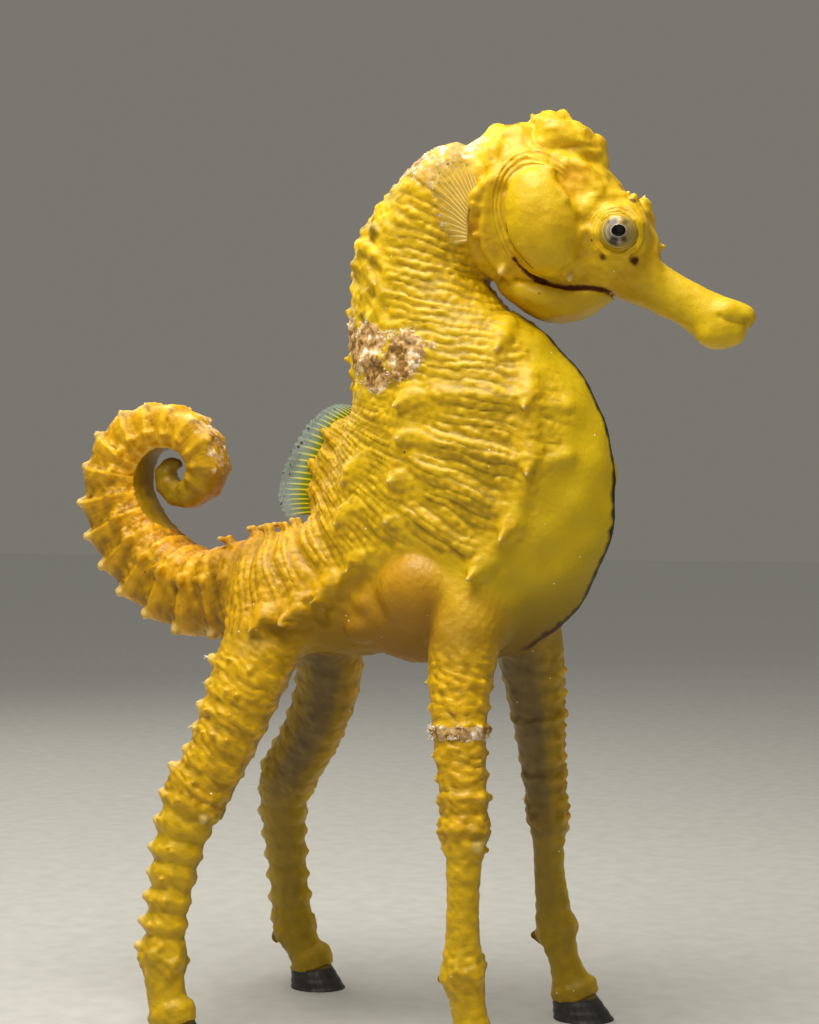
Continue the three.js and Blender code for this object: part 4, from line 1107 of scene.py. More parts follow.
@dataclass
class Head:
    """Skull, snout, throat and crown, in the head's own frame: t forward, y left, z up."""

    skull: Rows = (
        (-3, 137.6, -1.5, 126.6, 5.6, 2.2, 2.2), (0.6, 141.2, 2.4, 121.6, 7.8, 2.2, 2.2),
        (5, 143, 6.2, 119.4, 9, 2.2, 2.3), (10, 143.3, 11.4, 117.6, 9.3, 2.1, 2.3),
        (15.5, 141.6, 16, 116.9, 8.8, 2.1, 2.3), (20.6, 138, 20.6, 116.8, 7.8, 2.1, 2.3),
        (24.2, 133.4, 24.4, 116.6, 6.6, 2.2, 2.3), (27.6, 130, 27.4, 115.6, 5.2, 2.2, 2.2),
        (29.8, 125.6, 30, 114.2, 3.6, 2, 2))
    snout: Rows = (
        (25, 123.4, 24, 116.4, 3.6), (29.6, 121.8, 28.4, 114.5, 3.6), (33, 119.9, 31.4, 112.8, 3.3),
        (36.1, 118.1, 34.2, 111, 3.2), (38.6, 116.7, 36.4, 108.9, 3.5), (40.8, 115.8, 38.8, 108.2, 3.5),
        (42.5, 115.1, 41.2, 108.9, 2.9), (43.7, 114.2, 42.7, 110.4, 1.9), (44.1, 113.6, 43.4, 111.8, 0.8))
    throat: Rows = (
        (4.4, 119.6, 4.6, 117.6, 2.6), (7.2, 120, 7.2, 115.7, 4.8), (10.4, 120, 10.4, 113.6, 6),
        (13.7, 120, 13.7, 112.7, 6.4), (17.5, 120, 17.5, 113.2, 5.9), (20.6, 120, 20.6, 114.7, 4.9),
        (23.4, 119, 23.2, 116.6, 3))
    crown: Rows = (
        (10.3, 143.9, 10.7, 139.8, 2.6), (11.2, 145, 11.6, 138.9, 4.8), (13.2, 145.4, 13.6, 138.3, 6.1),
        (16.2, 143.8, 16.4, 138.1, 6.4), (18.8, 142, 19, 137.6, 5.6), (20.6, 140.2, 20.6, 136.6, 4),
        (21.4, 138.6, 21.4, 136.4, 2.2))
    eye: Place = (24.5, 6.3, 126.0)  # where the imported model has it
    eye_middle: Place = (24.35, 6.1, 125.6)
    eye_radius: float = 3.55
    lid_radius: float = 3.62
    gill: Place = (12.8, 7.6, 127.8)
    gill_halves: Place = (5.9, 4.5, 8.7)
    gill_lean: float = -15.0
    rim: tuple[float, float] = (5.65, 8.3)  # half sizes of the gill cover where it meets the cheek
    gill_folds: Rows = (  # round the rim: share of its size, radius
        (1.13, 0.22), (1.25, 0.22), (1.36, 0.18))
    # jaw crease, from under the gill cover to the corner of the snout: t, z
    jaw: Rows = (
        (8.1, 122.3), (10.4, 119.6), (13.2, 118.2), (16.2, 117.5), (18.6, 117.4), (20.6, 117.3),
        (22.4, 116.9), (23.3, 116.2))
    mouth: Rows = ((42.9, 111.9), (41.6, 112.0), (40.2, 112.3), (39.2, 113.0))
    # grooves under the crown, and across the back of the jaw: t, z
    crown_hem: Rows = (
        (11, 143.6), (10.9, 141.6), (11.6, 139.9), (13.6, 138.9), (16.4, 139), (19, 139.2), (20.8, 139.4))
    nape_fold: Rows = ((3.2, 119.6), (3.9, 118.5), (5.1, 116.8), (6.6, 115.2))
    # lobes and knobs of the crown: foot t, y, z, tip t, y, z, foot radius, tip radius
    crown_knobs: Rows = (
        (12.4, 1.6, 141.6, 12.4, 1.6, 143.2, 2.9, 2), (12.6, -1.6, 141.6, 12.6, -1.8, 143.1, 2.9, 2),
        (14.8, 0, 142, 14.6, 0, 143.9, 2.4, 1.7), (17, 2.2, 140.2, 17.2, 2.4, 141, 2.8, 2.2),
        (17, -2.2, 140.2, 17.2, -2.4, 141, 2.8, 2.2), (19.6, 0, 138.8, 19.9, 0, 139.8, 2.4, 1.7),
        (5.2, -2.6, 140.6, 5, -2.7, 142.2, 2.2, 1.5), (5.2, 2.6, 140.6, 5, 2.7, 142.2, 2.2, 1.5),
        (8.4, -3.4, 140, 8.6, -3.5, 141.4, 2.4, 1.8), (8.4, 3.4, 140, 8.6, 3.5, 141.4, 2.4, 1.8),
        (5.4, 0, 142.4, 9.8, 0, 142.5, 1.5, 1.5))
    crown_nubs: Rows = (
        (10.6, -0.6, 143.8, 10.2, -0.7, 145.1, 0.9, 0.42), (10.8, 1.3, 143.6, 10.5, 1.6, 144.8, 0.9, 0.42),
        (12, -0.9, 144.6, 11.9, -1, 145.5, 1, 0.5), (12.3, 1, 144.4, 12.2, 1.3, 145.3, 1, 0.5),
        (13, -2.2, 143.8, 13.1, -2.5, 144.8, 0.9, 0.45), (14.5, 0.3, 144.4, 14.6, 0.4, 145.4, 1.1, 0.55),
        (14.9, -1.9, 143.2, 15.1, -2.2, 144.2, 0.9, 0.45), (15, 2, 143.2, 15.2, 2.4, 144.1, 0.9, 0.45),
        (11.2, -2.6, 142.8, 10.9, -3, 143.7, 0.9, 0.45), (11.4, 2.8, 142.6, 11.1, 3.3, 143.4, 0.9, 0.45))
    brow_spines: Rows = (
        (25.2, 3, 130.6, 25.5, 3.2, 132.3, 0.85, 0.3), (27.2, 1.5, 129.8, 27.8, 1.6, 131.8, 0.8, 0.28),
        (26, 3.9, 129.6, 26.4, 4.2, 131.1, 1.5, 0.75), (27, 1.6, 129.4, 27.5, 1.6, 130.6, 2, 1.1))
    # lips on each side: t, z of the back end, t, z of the front end, radius
    lips: Rows = ((40.4, 114.0, 43.2, 113.0, 1.25), (37.6, 110.3, 41.4, 110.2, 1.15))
    # warts on each side of the face: t, z, height, foot radius, tip radius, lean towards t, lean towards z
    warts: Rows = (
        (16.9, 119.8, 2.1, 1.15, 0.6, 0, -0.9), (6.5, 121, 2.1, 1.2, 0.62, -0.3, -0.9),
        (20.9, 123, 0.4, 0.45, 0.25, 0, 0.1), (19.3, 126, 0.9, 1.2, 0.5, 0.2, 0),
        (3, 130, 1.7, 1.2, 0.5, -0.8, 0.3), (2.9, 125.9, 1.7, 1.2, 0.5, -0.8, -0.2),
        (20.6, 130.6, 0.5, 0.9, 0.45, 0, 0.5), (16.6, 136.7, 0.3, 0.6, 0.35, 0, 0.2))
    # ridges on each side: radius, how deep they sit, then t, z along them
    ridges: tuple[tuple[float, float, Rows], ...] = (
        (1.15, 0.00, ((6.2, 134.2), (4.6, 133.4), (2.9, 131.8), (1.9, 129.8), (1.6, 127.6), (1.7, 124.6),
                      (2.8, 121.9), (4.6, 120.2))),
        (0.90, 0.05, ((6.6, 135.6), (5.6, 133.6), (4.7, 131.6), (4.1, 129.5), (3.8, 127.4), (3.7, 125.2),
                      (4.8, 122.4), (7, 120.2))),
        (1.00, 0.20, ((7.0, 142.0), (6.0, 140.8), (5.4, 139.0), (5.2, 136.8), (5.8, 134.8))),
        (0.85, 0.15, ((11.4, 136.6), (13.6, 135.6), (15.6, 133.6), (17.0, 130.6))),
        (1.00, 0.35, ((17.6, 136.6), (19.4, 135.2), (20.6, 133.2), (21.4, 131.6))),
        (0.75, 0.25, ((19.7, 131.0), (21.2, 131.3), (23.3, 131.2), (25.0, 131.2))),
        (0.60, 0.35, ((17.6, 119.4), (18.8, 120.8), (20.6, 121.2), (22.6, 120.4))))
    # dark marks on each side: t, z, size, how dark; the first, in the nostril, is painted shade in its
    # opening
    marks: Rows = (
        (26.7, 121.4, 0.85, 1), (22, 122, 0.55, 0.9), (26.4, 130.6, 0.8, 0.9), (18.8, 127.3, 1, 0.22),
        (4.9, 137.2, 0.6, 0.4), (43.2, 112.2, 1.1, 0.3))
    creases: list[tuple[Array, float]] = field(default_factory=list)  # lines painted dark as the shade in creases: path, width

    def heading(self, t: float, y: float, z: float) -> Array:
        """A direction of the head's frame, in the body frame."""
        return np.stack(np.broadcast_arrays(t, y, z), axis=-1) @ HEAD_AXES

    def place(self, t: Array, y: Array, z: Array) -> Array:
        """Places of the head's frame, in the body frame."""
        return self.heading(t, y, z) + HEAD_PIVOT

    def turned(self, solid: Solid) -> Solid:
        """A form built in the head's frame, turned to where the head looks."""
        return Solid(solid.points @ HEAD_AXES + HEAD_PIVOT, solid.quads, solid.triangles)

    def cheek(self, flesh: Flesh, places: Rows | Array, side: float, sink: float = 0.0,
              drop: float = 0.0) -> Array:
        """Points of one cheek at places seen from the side.

        Args:
            flesh: The flesh to look for.
            places: Rows of t and z.
            side: -1 on the right, 1 on the left.
            sink: How far the points are sunk into the cheek.
            drop: How far they are lowered.

        Returns:
            The points.
        """
        t, z = np.asarray(places, float).T
        found = flesh.touch(self.place(t, side * 17.0, z), self.heading(0, -side, 0))
        return found - self.heading(0, side * sink, drop)

    def join(self, flesh: Flesh) -> None:
        """Join the head's large forms."""
        for ribs, rings, around, blend in (
                (self.skull, 200, 160, Blend.SOFT), (self.snout, 140, 90, Blend.SOFT),
                (self.throat, 120, 110, Blend.CRISP), (self.crown, 110, 90, Blend.CROWN)):
            flesh.join("head", self.turned(ribbed(ribs, rings, around)), blend)
        for side in SIDES.values():
            t, y, z = self.eye_middle
            orbit = ellipsoid((t, side * (y - 1.1), z + 0.4), (4.6, 4.0, 4.6))
            flesh.join("head", self.turned(orbit), Blend.SOFT)
            t, y, z = self.gill
            cover = ellipsoid((t, side * y, z), self.gill_halves, self.gill_lean)
            flesh.join("head", self.turned(cover), Blend.GILL)

    def join_features(self, flesh: Flesh) -> None:
        """Raise the crown's knobs, the warts, ridges, lids and lips."""
        both = SIDES.values()
        for rows, blend, sides in (
                (self.crown_knobs, Blend.SOFT, (1.0,)), (self.crown_nubs, Blend.FIRM, (1.0,)),
                (self.brow_spines, Blend.FIRM, both)):
            for t0, y0, z0, t1, y1, z1, radius, tip_radius in rows:
                for side in sides:
                    flesh.knob(blend, self.place(t0, side * y0, z0), self.place(t1, side * y1, z1), radius,
                               tip_radius, pale=rows is self.brow_spines and radius < 1.0)
        flesh.knob(Blend.FIRM, self.place(28.9, 0, 123.6), self.place(30.7, 0, 124.3), 1.2, 0.3, pale=True)
        for side in both:
            for t, z, height, radius, tip_radius, lean_t, lean_z in self.warts:
                foot = self.cheek(flesh, ((t, z),), side)[0]
                out = unit(self.heading(lean_t, side, lean_z))
                flesh.knob(Blend.FIRM, foot - out * 0.6, foot + out * (height - tip_radius), radius,
                           tip_radius, pale=height > 1.8)
            for radius, sink, path in self.ridges:
                flesh.ridge(Blend.FIRM, self.cheek(flesh, through(path, 3 * len(path)), side, sink), radius)
            for t0, z0, t1, z1, radius in self.lips:
                flesh.knob(Blend.SOFT, self.place(t0, side * 2.0, z0), self.place(t1, side * 1.2, z1), radius,
                           radius * 0.9)
            turn = np.linspace(0, TURN, 25)
            ring = unit((0.10, 1.0, -0.02)) * 1.15 + self.lid_radius * np.stack(
                [np.cos(turn), 0 * turn, np.sin(turn)], axis=1)
            t, y, z = (ring + self.eye_middle).T
            flesh.ridge(Blend.FIRM, self.place(t, side * y, z), 0.42)

    def gill_rim(self, first: float, last: float, count: int, scale: float) -> Array:
        """Places t, z round the gill cover's rim.

        Args:
            first: Degrees from the front where they start.
            last: Degrees where they end.
            count: How many.
            scale: How far out they lie, as a share of the rim's size.

        Returns:
            One row for each.
        """
        angles, lean = np.radians(np.linspace(first, last, count)), math.radians(self.gill_lean)
        across, along = scale * self.rim[0] * np.cos(angles), scale * self.rim[1] * np.sin(angles)
        return np.stack([self.gill[0] + across * math.cos(lean) + along * math.sin(lean),
                         self.gill[2] + along * math.cos(lean) - across * math.sin(lean)], axis=1)

    def carve(self, flesh: Flesh) -> None:
        """Cut the jaw's crease, the hollows behind the brow, the mouth, nostrils and eye sockets."""
        for side in SIDES.values():
            path = evened(self.cheek(flesh, through(self.jaw, 90), side, 0.15, -0.1), 11)
            # the jaw's crease and the gill cover's rim are painted dark too, as their shade
            self.creases.append((path, 0.64))
            flesh.cut(path[::3], 0.42, ends=0.25)
            path = self.cheek(flesh, self.gill_rim(80, 236, 90, 1.0), side, -0.10)
            self.creases.append((path[40:], 0.40))
            flesh.cut(path[::3], 0.36, ends=0.3)
            hollow = self.cheek(flesh, ((17.3, 134.0),), side, -1.4)
            flesh.cut(np.vstack([hollow, hollow + self.heading(1.4, 0, -1.8)]), 1.9, Blend.SOFT)
            flesh.cut(self.cheek(flesh, through(self.crown_hem, 30), side, -0.12), 0.5, ends=0.3)
            for scale, radius in self.gill_folds:
                flesh.cut(self.cheek(flesh, self.gill_rim(62, 225, 40, scale), side, -0.08), radius, ends=0.2)
            flesh.cut(self.cheek(flesh, self.mouth, side), 0.30)
            nostril = self.cheek(flesh, ((26.5, 121.6),), side)
            flesh.cut(np.vstack([nostril, nostril + self.heading(0.5, 0, -0.2)]), 0.45)
            t, y, z = self.eye_middle
            socket = self.place(t, side * y, z)
            flesh.cut(np.array([socket, socket + 0.01]), self.eye_radius - 0.22)
        for t, z in through(self.nape_fold, 12):
            flesh.cut(self.place(t, np.linspace(-8, 8, 5), z), 0.48)
        flesh.cut(np.array([self.place(43.6, 0, 112.3), self.place(40.6, 0, 112.2)]), 0.55)

    def wrinkle(self, points: Array, paint: Paint, share: Array) -> Array:
        """Wrinkle and paint the head.

        Args:
            points: Points of the skin.
            paint: The paint to add to.
            share: How far each point belongs to the head.

        Returns:
            Height to add at each point, mm.
        """
        t, _, z = ((points - HEAD_PIVOT) @ HEAD_AXES.T).T
        ripple = Ripples(points)
        lean = math.radians(self.gill_lean)
        off_t, off_z = t - self.gill[0], z - self.gill[2]
        across = off_t * math.cos(lean) - off_z * math.sin(lean)
        oval = np.hypot(across / self.rim[0], (off_z * math.cos(lean) + off_t * math.sin(lean)) / self.rim[1])
        rear = ease(across - 0.62 * off_z, 2.4, -1.6) * ease(off_z, -7.0, -4.0)
        folds = ease(oval, 0.98, 1.03) * ease(oval, 1.44, 1.22) * rear
        eye_far = np.hypot(t - self.eye_middle[0], z - self.eye_middle[2])
        lids = ease(eye_far, 5.2, 3.4) * ease(eye_far, 2.6, 3.0)
        snout = ease(t, 28.0, 33.0)
        jowl = ease(z, 118.6, 117.0) * (1 - snout)
        calm = np.clip(ease(oval, 1.0, 0.92) + snout + jowl, 0, 1)
        height = (0.13 - 0.10 * calm) * ripple(4.2, 51) + (0.045 - 0.03 * calm) * ripple(1.7, 52)
        height += ease(z - 0.25 * (20 - t), 139, 143) * 0.06 * ripple(1.4, 53)
        # painted shade: the hollow behind the gill cover is painted a warmer orange
        hollow = ease(np.hypot(t - 17.4, (z - 133.4) * 0.8), 3.0, 0.8)
        moss = ease(np.hypot(t - 7.2, z - 143.9), 1.5, 0.6)
        # olive deepens under the jaw as painted shade
        paint.add(
            share,
            relief=np.clip(0.64 + 0.05 * ripple(3.4, 54) + 0.03 * ripple(1.2, 55) + 0.10 * snout, 0, 1)
            + 0.06 * hollow,
            smooth=0.30 + 0.4 * calm,
            warm=np.clip(0.20 + 0.10 * ripple(7, 56) - 0.15 * snout + 0.35 * hollow, 0, 1),
            olive=0.20 * ease(z, 121, 115) * (1 - snout) + 0.8 * moss,
            line_phase=np.where(lids > 0, TURN * eye_far / 0.55, TURN * (oval - 1) / 0.11),
            line_depth=np.clip(folds + 0.5 * lids, 0, 1))
        # painted shade: darken the skin along the creases
        for path, reach in self.creases:
            off = np.abs(points - (path.min(axis=0) + path.max(axis=0)) / 2)
            near = (off < np.ptp(path, axis=0) / 2 + 1.5).all(axis=1)
            gap = np.linalg.norm(points[near, None] - path[None], axis=2)
            girth = reach * (0.42 + 0.58 * np.sin(np.linspace(0.12, math.pi, len(path))) ** 0.8)
            paint.dark[near] += share[near] * ease((gap / girth).min(axis=1), 1.0, 0.62)
        ragged = 1 + 0.15 * ripple(1.4, 57)
        for mark_t, mark_z, size, dark in self.marks:
            paint.add(share, dark=dark * ease(np.hypot(t - mark_t, z - mark_z) * ragged, size, size * 0.45))
        return share * height


@dataclass
class Skin:
    """The whole skin: grown, taken off, wrinkled and painted."""

    torso: Torso = field(default_factory=Torso)
    pouch: Pouch = field(default_factory=Pouch)
    tail: Tail = field(default_factory=Tail)
    head: Head = field(default_factory=Head)
    share_width: float = 0.55  # how sharply one part's wrinkles give way to the next, mm

    def grow(self, low: Array, high: Array) -> Flesh:
        """Join every form of flesh.

        Args:
            low: Lowest corner of the body.
            high: Highest corner of the body.

        Returns:
            The grown flesh.
        """
        flesh = Flesh(low, high, VOXEL)
        for part in (self.torso, *LEGS, self.pouch, self.tail, self.head):
            part.join(flesh)
        self.torso.join_ridges(flesh)
        self.tail.join_scutes(flesh)
        for leg in LEGS:
            leg.join_spines(flesh)
        self.head.join_features(flesh)
        flesh.settle()
        self.head.carve(flesh)
        return flesh

    def dress(self, flesh: Flesh) -> tuple[Array, Array, Paint]:
        """Take the skin off the flesh, wrinkle it and paint it.

        Args:
            flesh: The grown flesh.

        Returns:
            Points, faces and paint.
        """
        points, faces = flesh.skin()
        far = np.stack([flesh.region(name, points) for name in flesh.regions])
        pull = np.exp(-(far - far.min(axis=0)) / self.share_width)
        shares = dict(zip(flesh.regions, pull / pull.sum(axis=0)))
        for leg in LEGS:
            on_body = ease(points[:, 2], leg.style.ringed_below + 3.0, leg.style.ringed_below + 8.0)
            shares["pouch" if leg.style is FRONT_STYLE else "torso"] += shares[leg.name] * on_body
            shares[leg.name] *= 1 - on_body
        paint = Paint.blank(len(points))
        parts = {"torso": self.torso, "pouch": self.pouch, "tail": self.tail, "head": self.head,
                 **{leg.name: leg for leg in LEGS}}
        height = sum(part.wrinkle(points, paint, shares[name]) for name, part in parts.items())
        ripple = Ripples(points)
        for crust in CRUSTS.values():
            spread = crust.spread(points)
            paint.crust = np.maximum(paint.crust, spread)
            lumps = 0.22 + crust.grainy * (0.16 * ripple(1.5, 61) + 0.10 * ripple(0.8, 62))
            height = height * (1 - 0.8 * spread) + spread * lumps
        paint.pale = self.tips(points, flesh)
        height *= 1 - 0.7 * paint.pale
        return points + flesh.outward(points) * height[:, None], faces, paint

    def tips(self, points: Array, flesh: Flesh) -> Array:
        """How near points lie to the pale tip of a spine or wart, 0 to 1."""
        tree = KDTree(len(flesh.tips))
        for number, (tip, _) in enumerate(flesh.tips):
            tree.insert(tip, number)
        tree.balance()
        number, far = np.array([tree.find(point)[1:] for point in points]).T
        size = np.array([size for _, size in flesh.tips])[number.astype(int)]
        return ease(far - size * 0.6, 0.15 + 1.3 * size, 0.05)


# ---- meshes and materials ------------------------------------------------------------------------
class Station:
    """Turns the body frame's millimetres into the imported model's metres."""

    def __init__(self, head: Head) -> None:
        """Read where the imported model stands, from the middle of its right eye."""
        t, y, z = head.eye
        low, high = (np.array(corner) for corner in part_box("eye_right"))
        self.shift = (low + high) / 2 - head.place(t, -y, z) * MM

    def metres(self, points: Array) -> Array:
        """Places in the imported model's frame."""
        return points * MM + self.shift

    def millimetres(self, points: Array) -> Array:
        """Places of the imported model, in the body frame."""
        return (np.asarray(points) - self.shift) / MM


def linear(hex_colour: str) -> tuple[float, float, float, float]:
    """Turn an sRGB hex colour into the linear one that shaders take."""
    parts = [int(hex_colour[i:i + 2], 16) / 255 for i in (1, 3, 5)]
    return (*(c / 12.92 if c <= 0.04045 else ((c + 0.055) / 1.055) ** 2.4 for c in parts), 1.0)


def add_node(tree: bpy.types.NodeTree, kind: str, inputs: dict[int | str, object] | None = None,
             out: int | str = 0, stops: Stops = (), **settings: object) -> bpy.types.NodeSocket | None:
    """Add a shader node with its settings and links.

    Args:
        tree: The node tree.
        kind: The node's type, without the ShaderNode in front.
        inputs: Values, hex colours or other nodes' sockets, by socket name or number.
        out: Name or number of the output that is wanted.
        stops: Places and hex colours of a colour ramp.
        **settings: The node's own settings.

    Returns:
        That output, or None where the node has none.
    """
    made = tree.nodes.new("ShaderNode" + kind)
    for name, value in settings.items():
        setattr(made, name, value)
    for name, value in (inputs or {}).items():
        if isinstance(value, bpy.types.NodeSocket):
            tree.links.new(value, made.inputs[name])
        else:
            made.inputs[name].default_value = linear(value) if isinstance(value, str) else value
    for number, (place, colour) in enumerate(stops):
        elements = made.color_ramp.elements
        element = elements[number] if number < 2 else elements.new(1.0)
        element.position, element.color = place, linear(colour)
    return made.outputs[out] if made.outputs else None


def new_material(name: str) -> tuple[bpy.types.Material, Callable[..., bpy.types.NodeSocket | None]]:
    """Start a material with an empty node tree; returns it and add_node for that tree."""
    material = bpy.data.materials.new(name)
    material.use_nodes = True
    material.node_tree.nodes.clear()
    return material, partial(add_node, material.node_tree)


@dataclass(frozen=True)
class WetHide:
    """Live seahorse hide: a thin slimy cuticle over leathery skin.

    The skin scatters light a little. Its grooves are painted olive or amber as shade and its crests pale as
    painted light; the slime gives a soft, low sheen.
    """

    name: str = "wet_hide"
    # colour ramps from painted shade in the grooves, at 0, to painted light on the crests, at 1
    lemon: Stops = (
        (0.0, "#6A5602"), (0.28, "#A98803"), (0.58, "#DDB306"), (0.85, "#F1CB1C"), (1.0, "#F8DE5C"))
    orange: Stops = (
        (0.0, "#6B4301"), (0.28, "#A97303"), (0.58, "#DA9A08"), (0.85, "#EFB524"), (1.0, "#F6D068"))
    drab: Stops = ((0.3, "#54462A"), (0.7, "#7C6841"))
    growth: Stops = (
        (0.66, "#7C5628"), (0.76, "#B98F58"), (0.90, "#D0AC7A"), (0.99, "#E6D2AC"), (1.0, "#F8F0E0"))
    belly: str = "#D6B80C"
    pouch: str = "#AC7F13"
    olive: str = "#786403"
    # marks that lie over those colours, and how strongly; dark is painted shade as well as dark marks
    over: tuple[tuple[str, float, str], ...] = (
        ("pale", 0.42, "#F1DF9C"), ("keel", 1.0, "#14140F"), ("dark", 1.0, "#521F08"))
    # scattered dots: mm between them, size as a share of that, how few, colour
    dots: tuple[tuple[float, float, float, str], ...] = (
        # the pale dots are painted glints of the wet skin, the dark ones specks
        (1.9, 0.075, 0.72, "#FFF3D0"), (3.0, 0.05, 0.84, "#1B140A"))
    roughness: float = 0.40
    mottle: float = 6.0  # mm between blotches
    grain: float = 0.9  # mm between grains of the skin
    stain: float = 2.5  # mm between stains
    pore: float = 0.35  # mm between pores, the finest that shows

    def material(self) -> bpy.types.Material:
        """Build the hide's material."""
        material, add = new_material(self.name)
        place = add("TexCoord", out="Object")
        read = {name: add("Attribute", out="Fac", attribute_name=name) for name in Paint.__dataclass_fields__}
        mottle, grain, stain, pore = (
            add("TexNoise", {"Vector": place, "Scale": 1 / (size * MM), "Detail": detail}, "Fac")
            for size, detail in ((self.mottle, 3.0), (self.grain, 3.0), (self.stain, 4.0), (self.pore, 2.0)))
        wave = add("Math", {0: read["line_phase"]}, operation="COSINE")
        wave = add("Math", {0: wave, 1: read["line_depth"]}, operation="MULTIPLY")
        # how light the hide is: its own tone with the painted shade of grooves and painted light of crests
        tone = read["relief"]
        # the fine wrinkles' wave darkens their grooves as painted shade; mottle and grain are the skin's own
        # tone
        for field_read, weight in ((mottle, 0.26), (grain, 0.18), (wave, 0.12)):
            tone = add("Math", {0: field_read, 1: weight, 2: tone}, operation="MULTIPLY_ADD")
        tone = add("Math", {0: tone, 1: 0.22}, operation="SUBTRACT", use_clamp=True)
        lemon, orange = (add("ValToRGB", {"Fac": tone}, stops=stops) for stops in (self.lemon, self.orange))
        wrinkled, plain = (add("Mix", {0: read["warm"], 6: cool, 7: warm}, 2, data_type="RGBA")
                           for cool, warm in ((lemon, orange), (self.belly, self.pouch)))
        half = add("Math", {0: read["smooth"], 1: 0.72}, operation="MULTIPLY")
        drab = add("ValToRGB", {"Fac": stain}, stops=self.drab)
        ragged = add("Math", {0: grain, 1: 0.7, 2: read["crust"]}, operation="MULTIPLY_ADD")
        ragged = add("Math", {0: ragged, 1: 0.35}, operation="SUBTRACT")
        crust = add("MapRange", {"Value": ragged, "From Min": 0.18, "From Max": 0.52, "To Max": 0.92})
        speckle = add("Math", {0: grain, 1: stain}, operation="ADD")
        speckle = add("Math", {0: crust, 1: -0.23, 2: speckle}, operation="MULTIPLY_ADD")
        growth = add("ValToRGB", {"Fac": speckle}, stops=self.growth)
        coats = [(half, plain), (read["olive"], self.olive), (read["drab"], drab), (crust, growth)]
        for mask, strength, shade in self.over:
            amount = add("Math", {0: read[mask], 1: strength}, operation="MULTIPLY", use_clamp=True)
            coats.append((amount, shade))
        for spacing, size, chosen, shade in self.dots:
            far = add("TexVoronoi", {"Vector": place, "Scale": 1 / (spacing * MM)}, "Distance")
            near = add("Math", {0: far, 1: size}, operation="LESS_THAN")
            pick = add("Math", {0: far.node.outputs["Color"], 1: chosen}, operation="GREATER_THAN")
            coats.append((add("Math", {0: near, 1: pick}, operation="MULTIPLY"), shade))
        colour = wrinkled
        for amount, shade in coats:
            colour = add("Mix", {0: amount, 6: colour, 7: shade}, 2, data_type="RGBA")
        height = add("Math", {0: wave, 1: 0.5, 2: grain}, operation="MULTIPLY_ADD")
        height = add("Math", {0: pore, 1: 0.35, 2: height}, operation="MULTIPLY_ADD")
        bump = add("Bump", {"Strength": 1.0, "Distance": 0.10 * MM, "Height": height})
        rough = add("MapRange", {
            "Value": grain, "To Min": self.roughness - 0.06, "To Max": self.roughness + 0.14})
        rough = add("Math", {0: read["crust"], 1: 0.2, 2: rough}, operation="MULTIPLY_ADD")
        rough = add("Math", {0: read["dark"], 1: 0.4, 2: rough}, operation="MULTIPLY_ADD", use_clamp=True)
        shader = add("BsdfPrincipled", {
            "Base Color": colour, "Roughness": rough, "IOR": 1.38, "Subsurface Weight": 0.16,
            "Subsurface Radius": (1.0, 0.55, 0.14), "Subsurface Scale": 1.4 * MM, "Normal": bump})
        add("OutputMaterial", {"Surface": shader})
        return material


@dataclass(frozen=True)
class Eyeball:
    """A living eye: a clear cornea, so it is glossy, over a ringed metallic iris."""

    name: str = "cornea_over_iris"
    radius: float = 3.75  # the largest ring, mm
    pupil: float = 1.06
    wave: float = 0.34  # mm between the iris's fine rings
    # colours from the pupil's edge outwards, as shares of the radius
    iris: Stops = (
        (0.38, "#857868"), (0.50, "#B3A888"), (0.57, "#8B7C50"), (0.64, "#BBA95A"),
        (0.73, "#A08A30"), (0.80, "#BDA02A"), (1.0, "#C9A414"))
    # what lies over them, by the mesh's mark
    over: tuple[tuple[str, str], ...] = (("tint", "#AD9440"), ("patch", "#2E1A0E"), ("lid", "#C79F12"))

    def material(self) -> bpy.types.Material:
        """Build the eye's material from its rings and the dark patches of its iris."""
        material, add = new_material(self.name)
        place = add("TexCoord", out="Object")
        ring = add("Attribute", out="Fac", attribute_name="ring")
        base = add("MapRange", {"Value": ring, "From Min": 0.0, "From Max": self.radius})
        edge = self.pupil / self.radius
        pupil = ((0.0, "#030303"), (edge, "#050505"), (edge + 0.012, "#B3AB98"), (edge + 0.045, "#A89F8C"))
        colour = add("ValToRGB", {"Fac": base}, stops=(*pupil, *self.iris))
        for mark, shade in self.over:
            amount = add("Attribute", out="Fac", attribute_name=mark)
            colour = add("Mix", {0: amount, 6: colour, 7: shade}, 2, data_type="RGBA")
        wave = add("Math", {0: ring, 1: TURN / self.wave}, operation="MULTIPLY")
        wave = add("Math", {0: wave}, operation="SINE")
        fleck = add("TexNoise", {"Vector": place, "Scale": 1 / (0.5 * MM), "Detail": 2.0}, "Fac")
        wave = add("Math", {0: fleck, 1: 2.2, 2: wave}, operation="MULTIPLY_ADD")
        lines = add("MapRange", {
            "Value": wave, "From Min": 0.0, "From Max": 2.2, "To Min": 0.72, "To Max": 1.08})
        colour = add("Mix", {0: 1.0, 6: colour, 7: lines}, 2, data_type="RGBA", blend_type="MULTIPLY")
        shader = add("BsdfPrincipled", {"Base Color": colour, "Roughness": 0.10, "IOR": 1.38})
        add("OutputMaterial", {"Surface": shader})
        return material


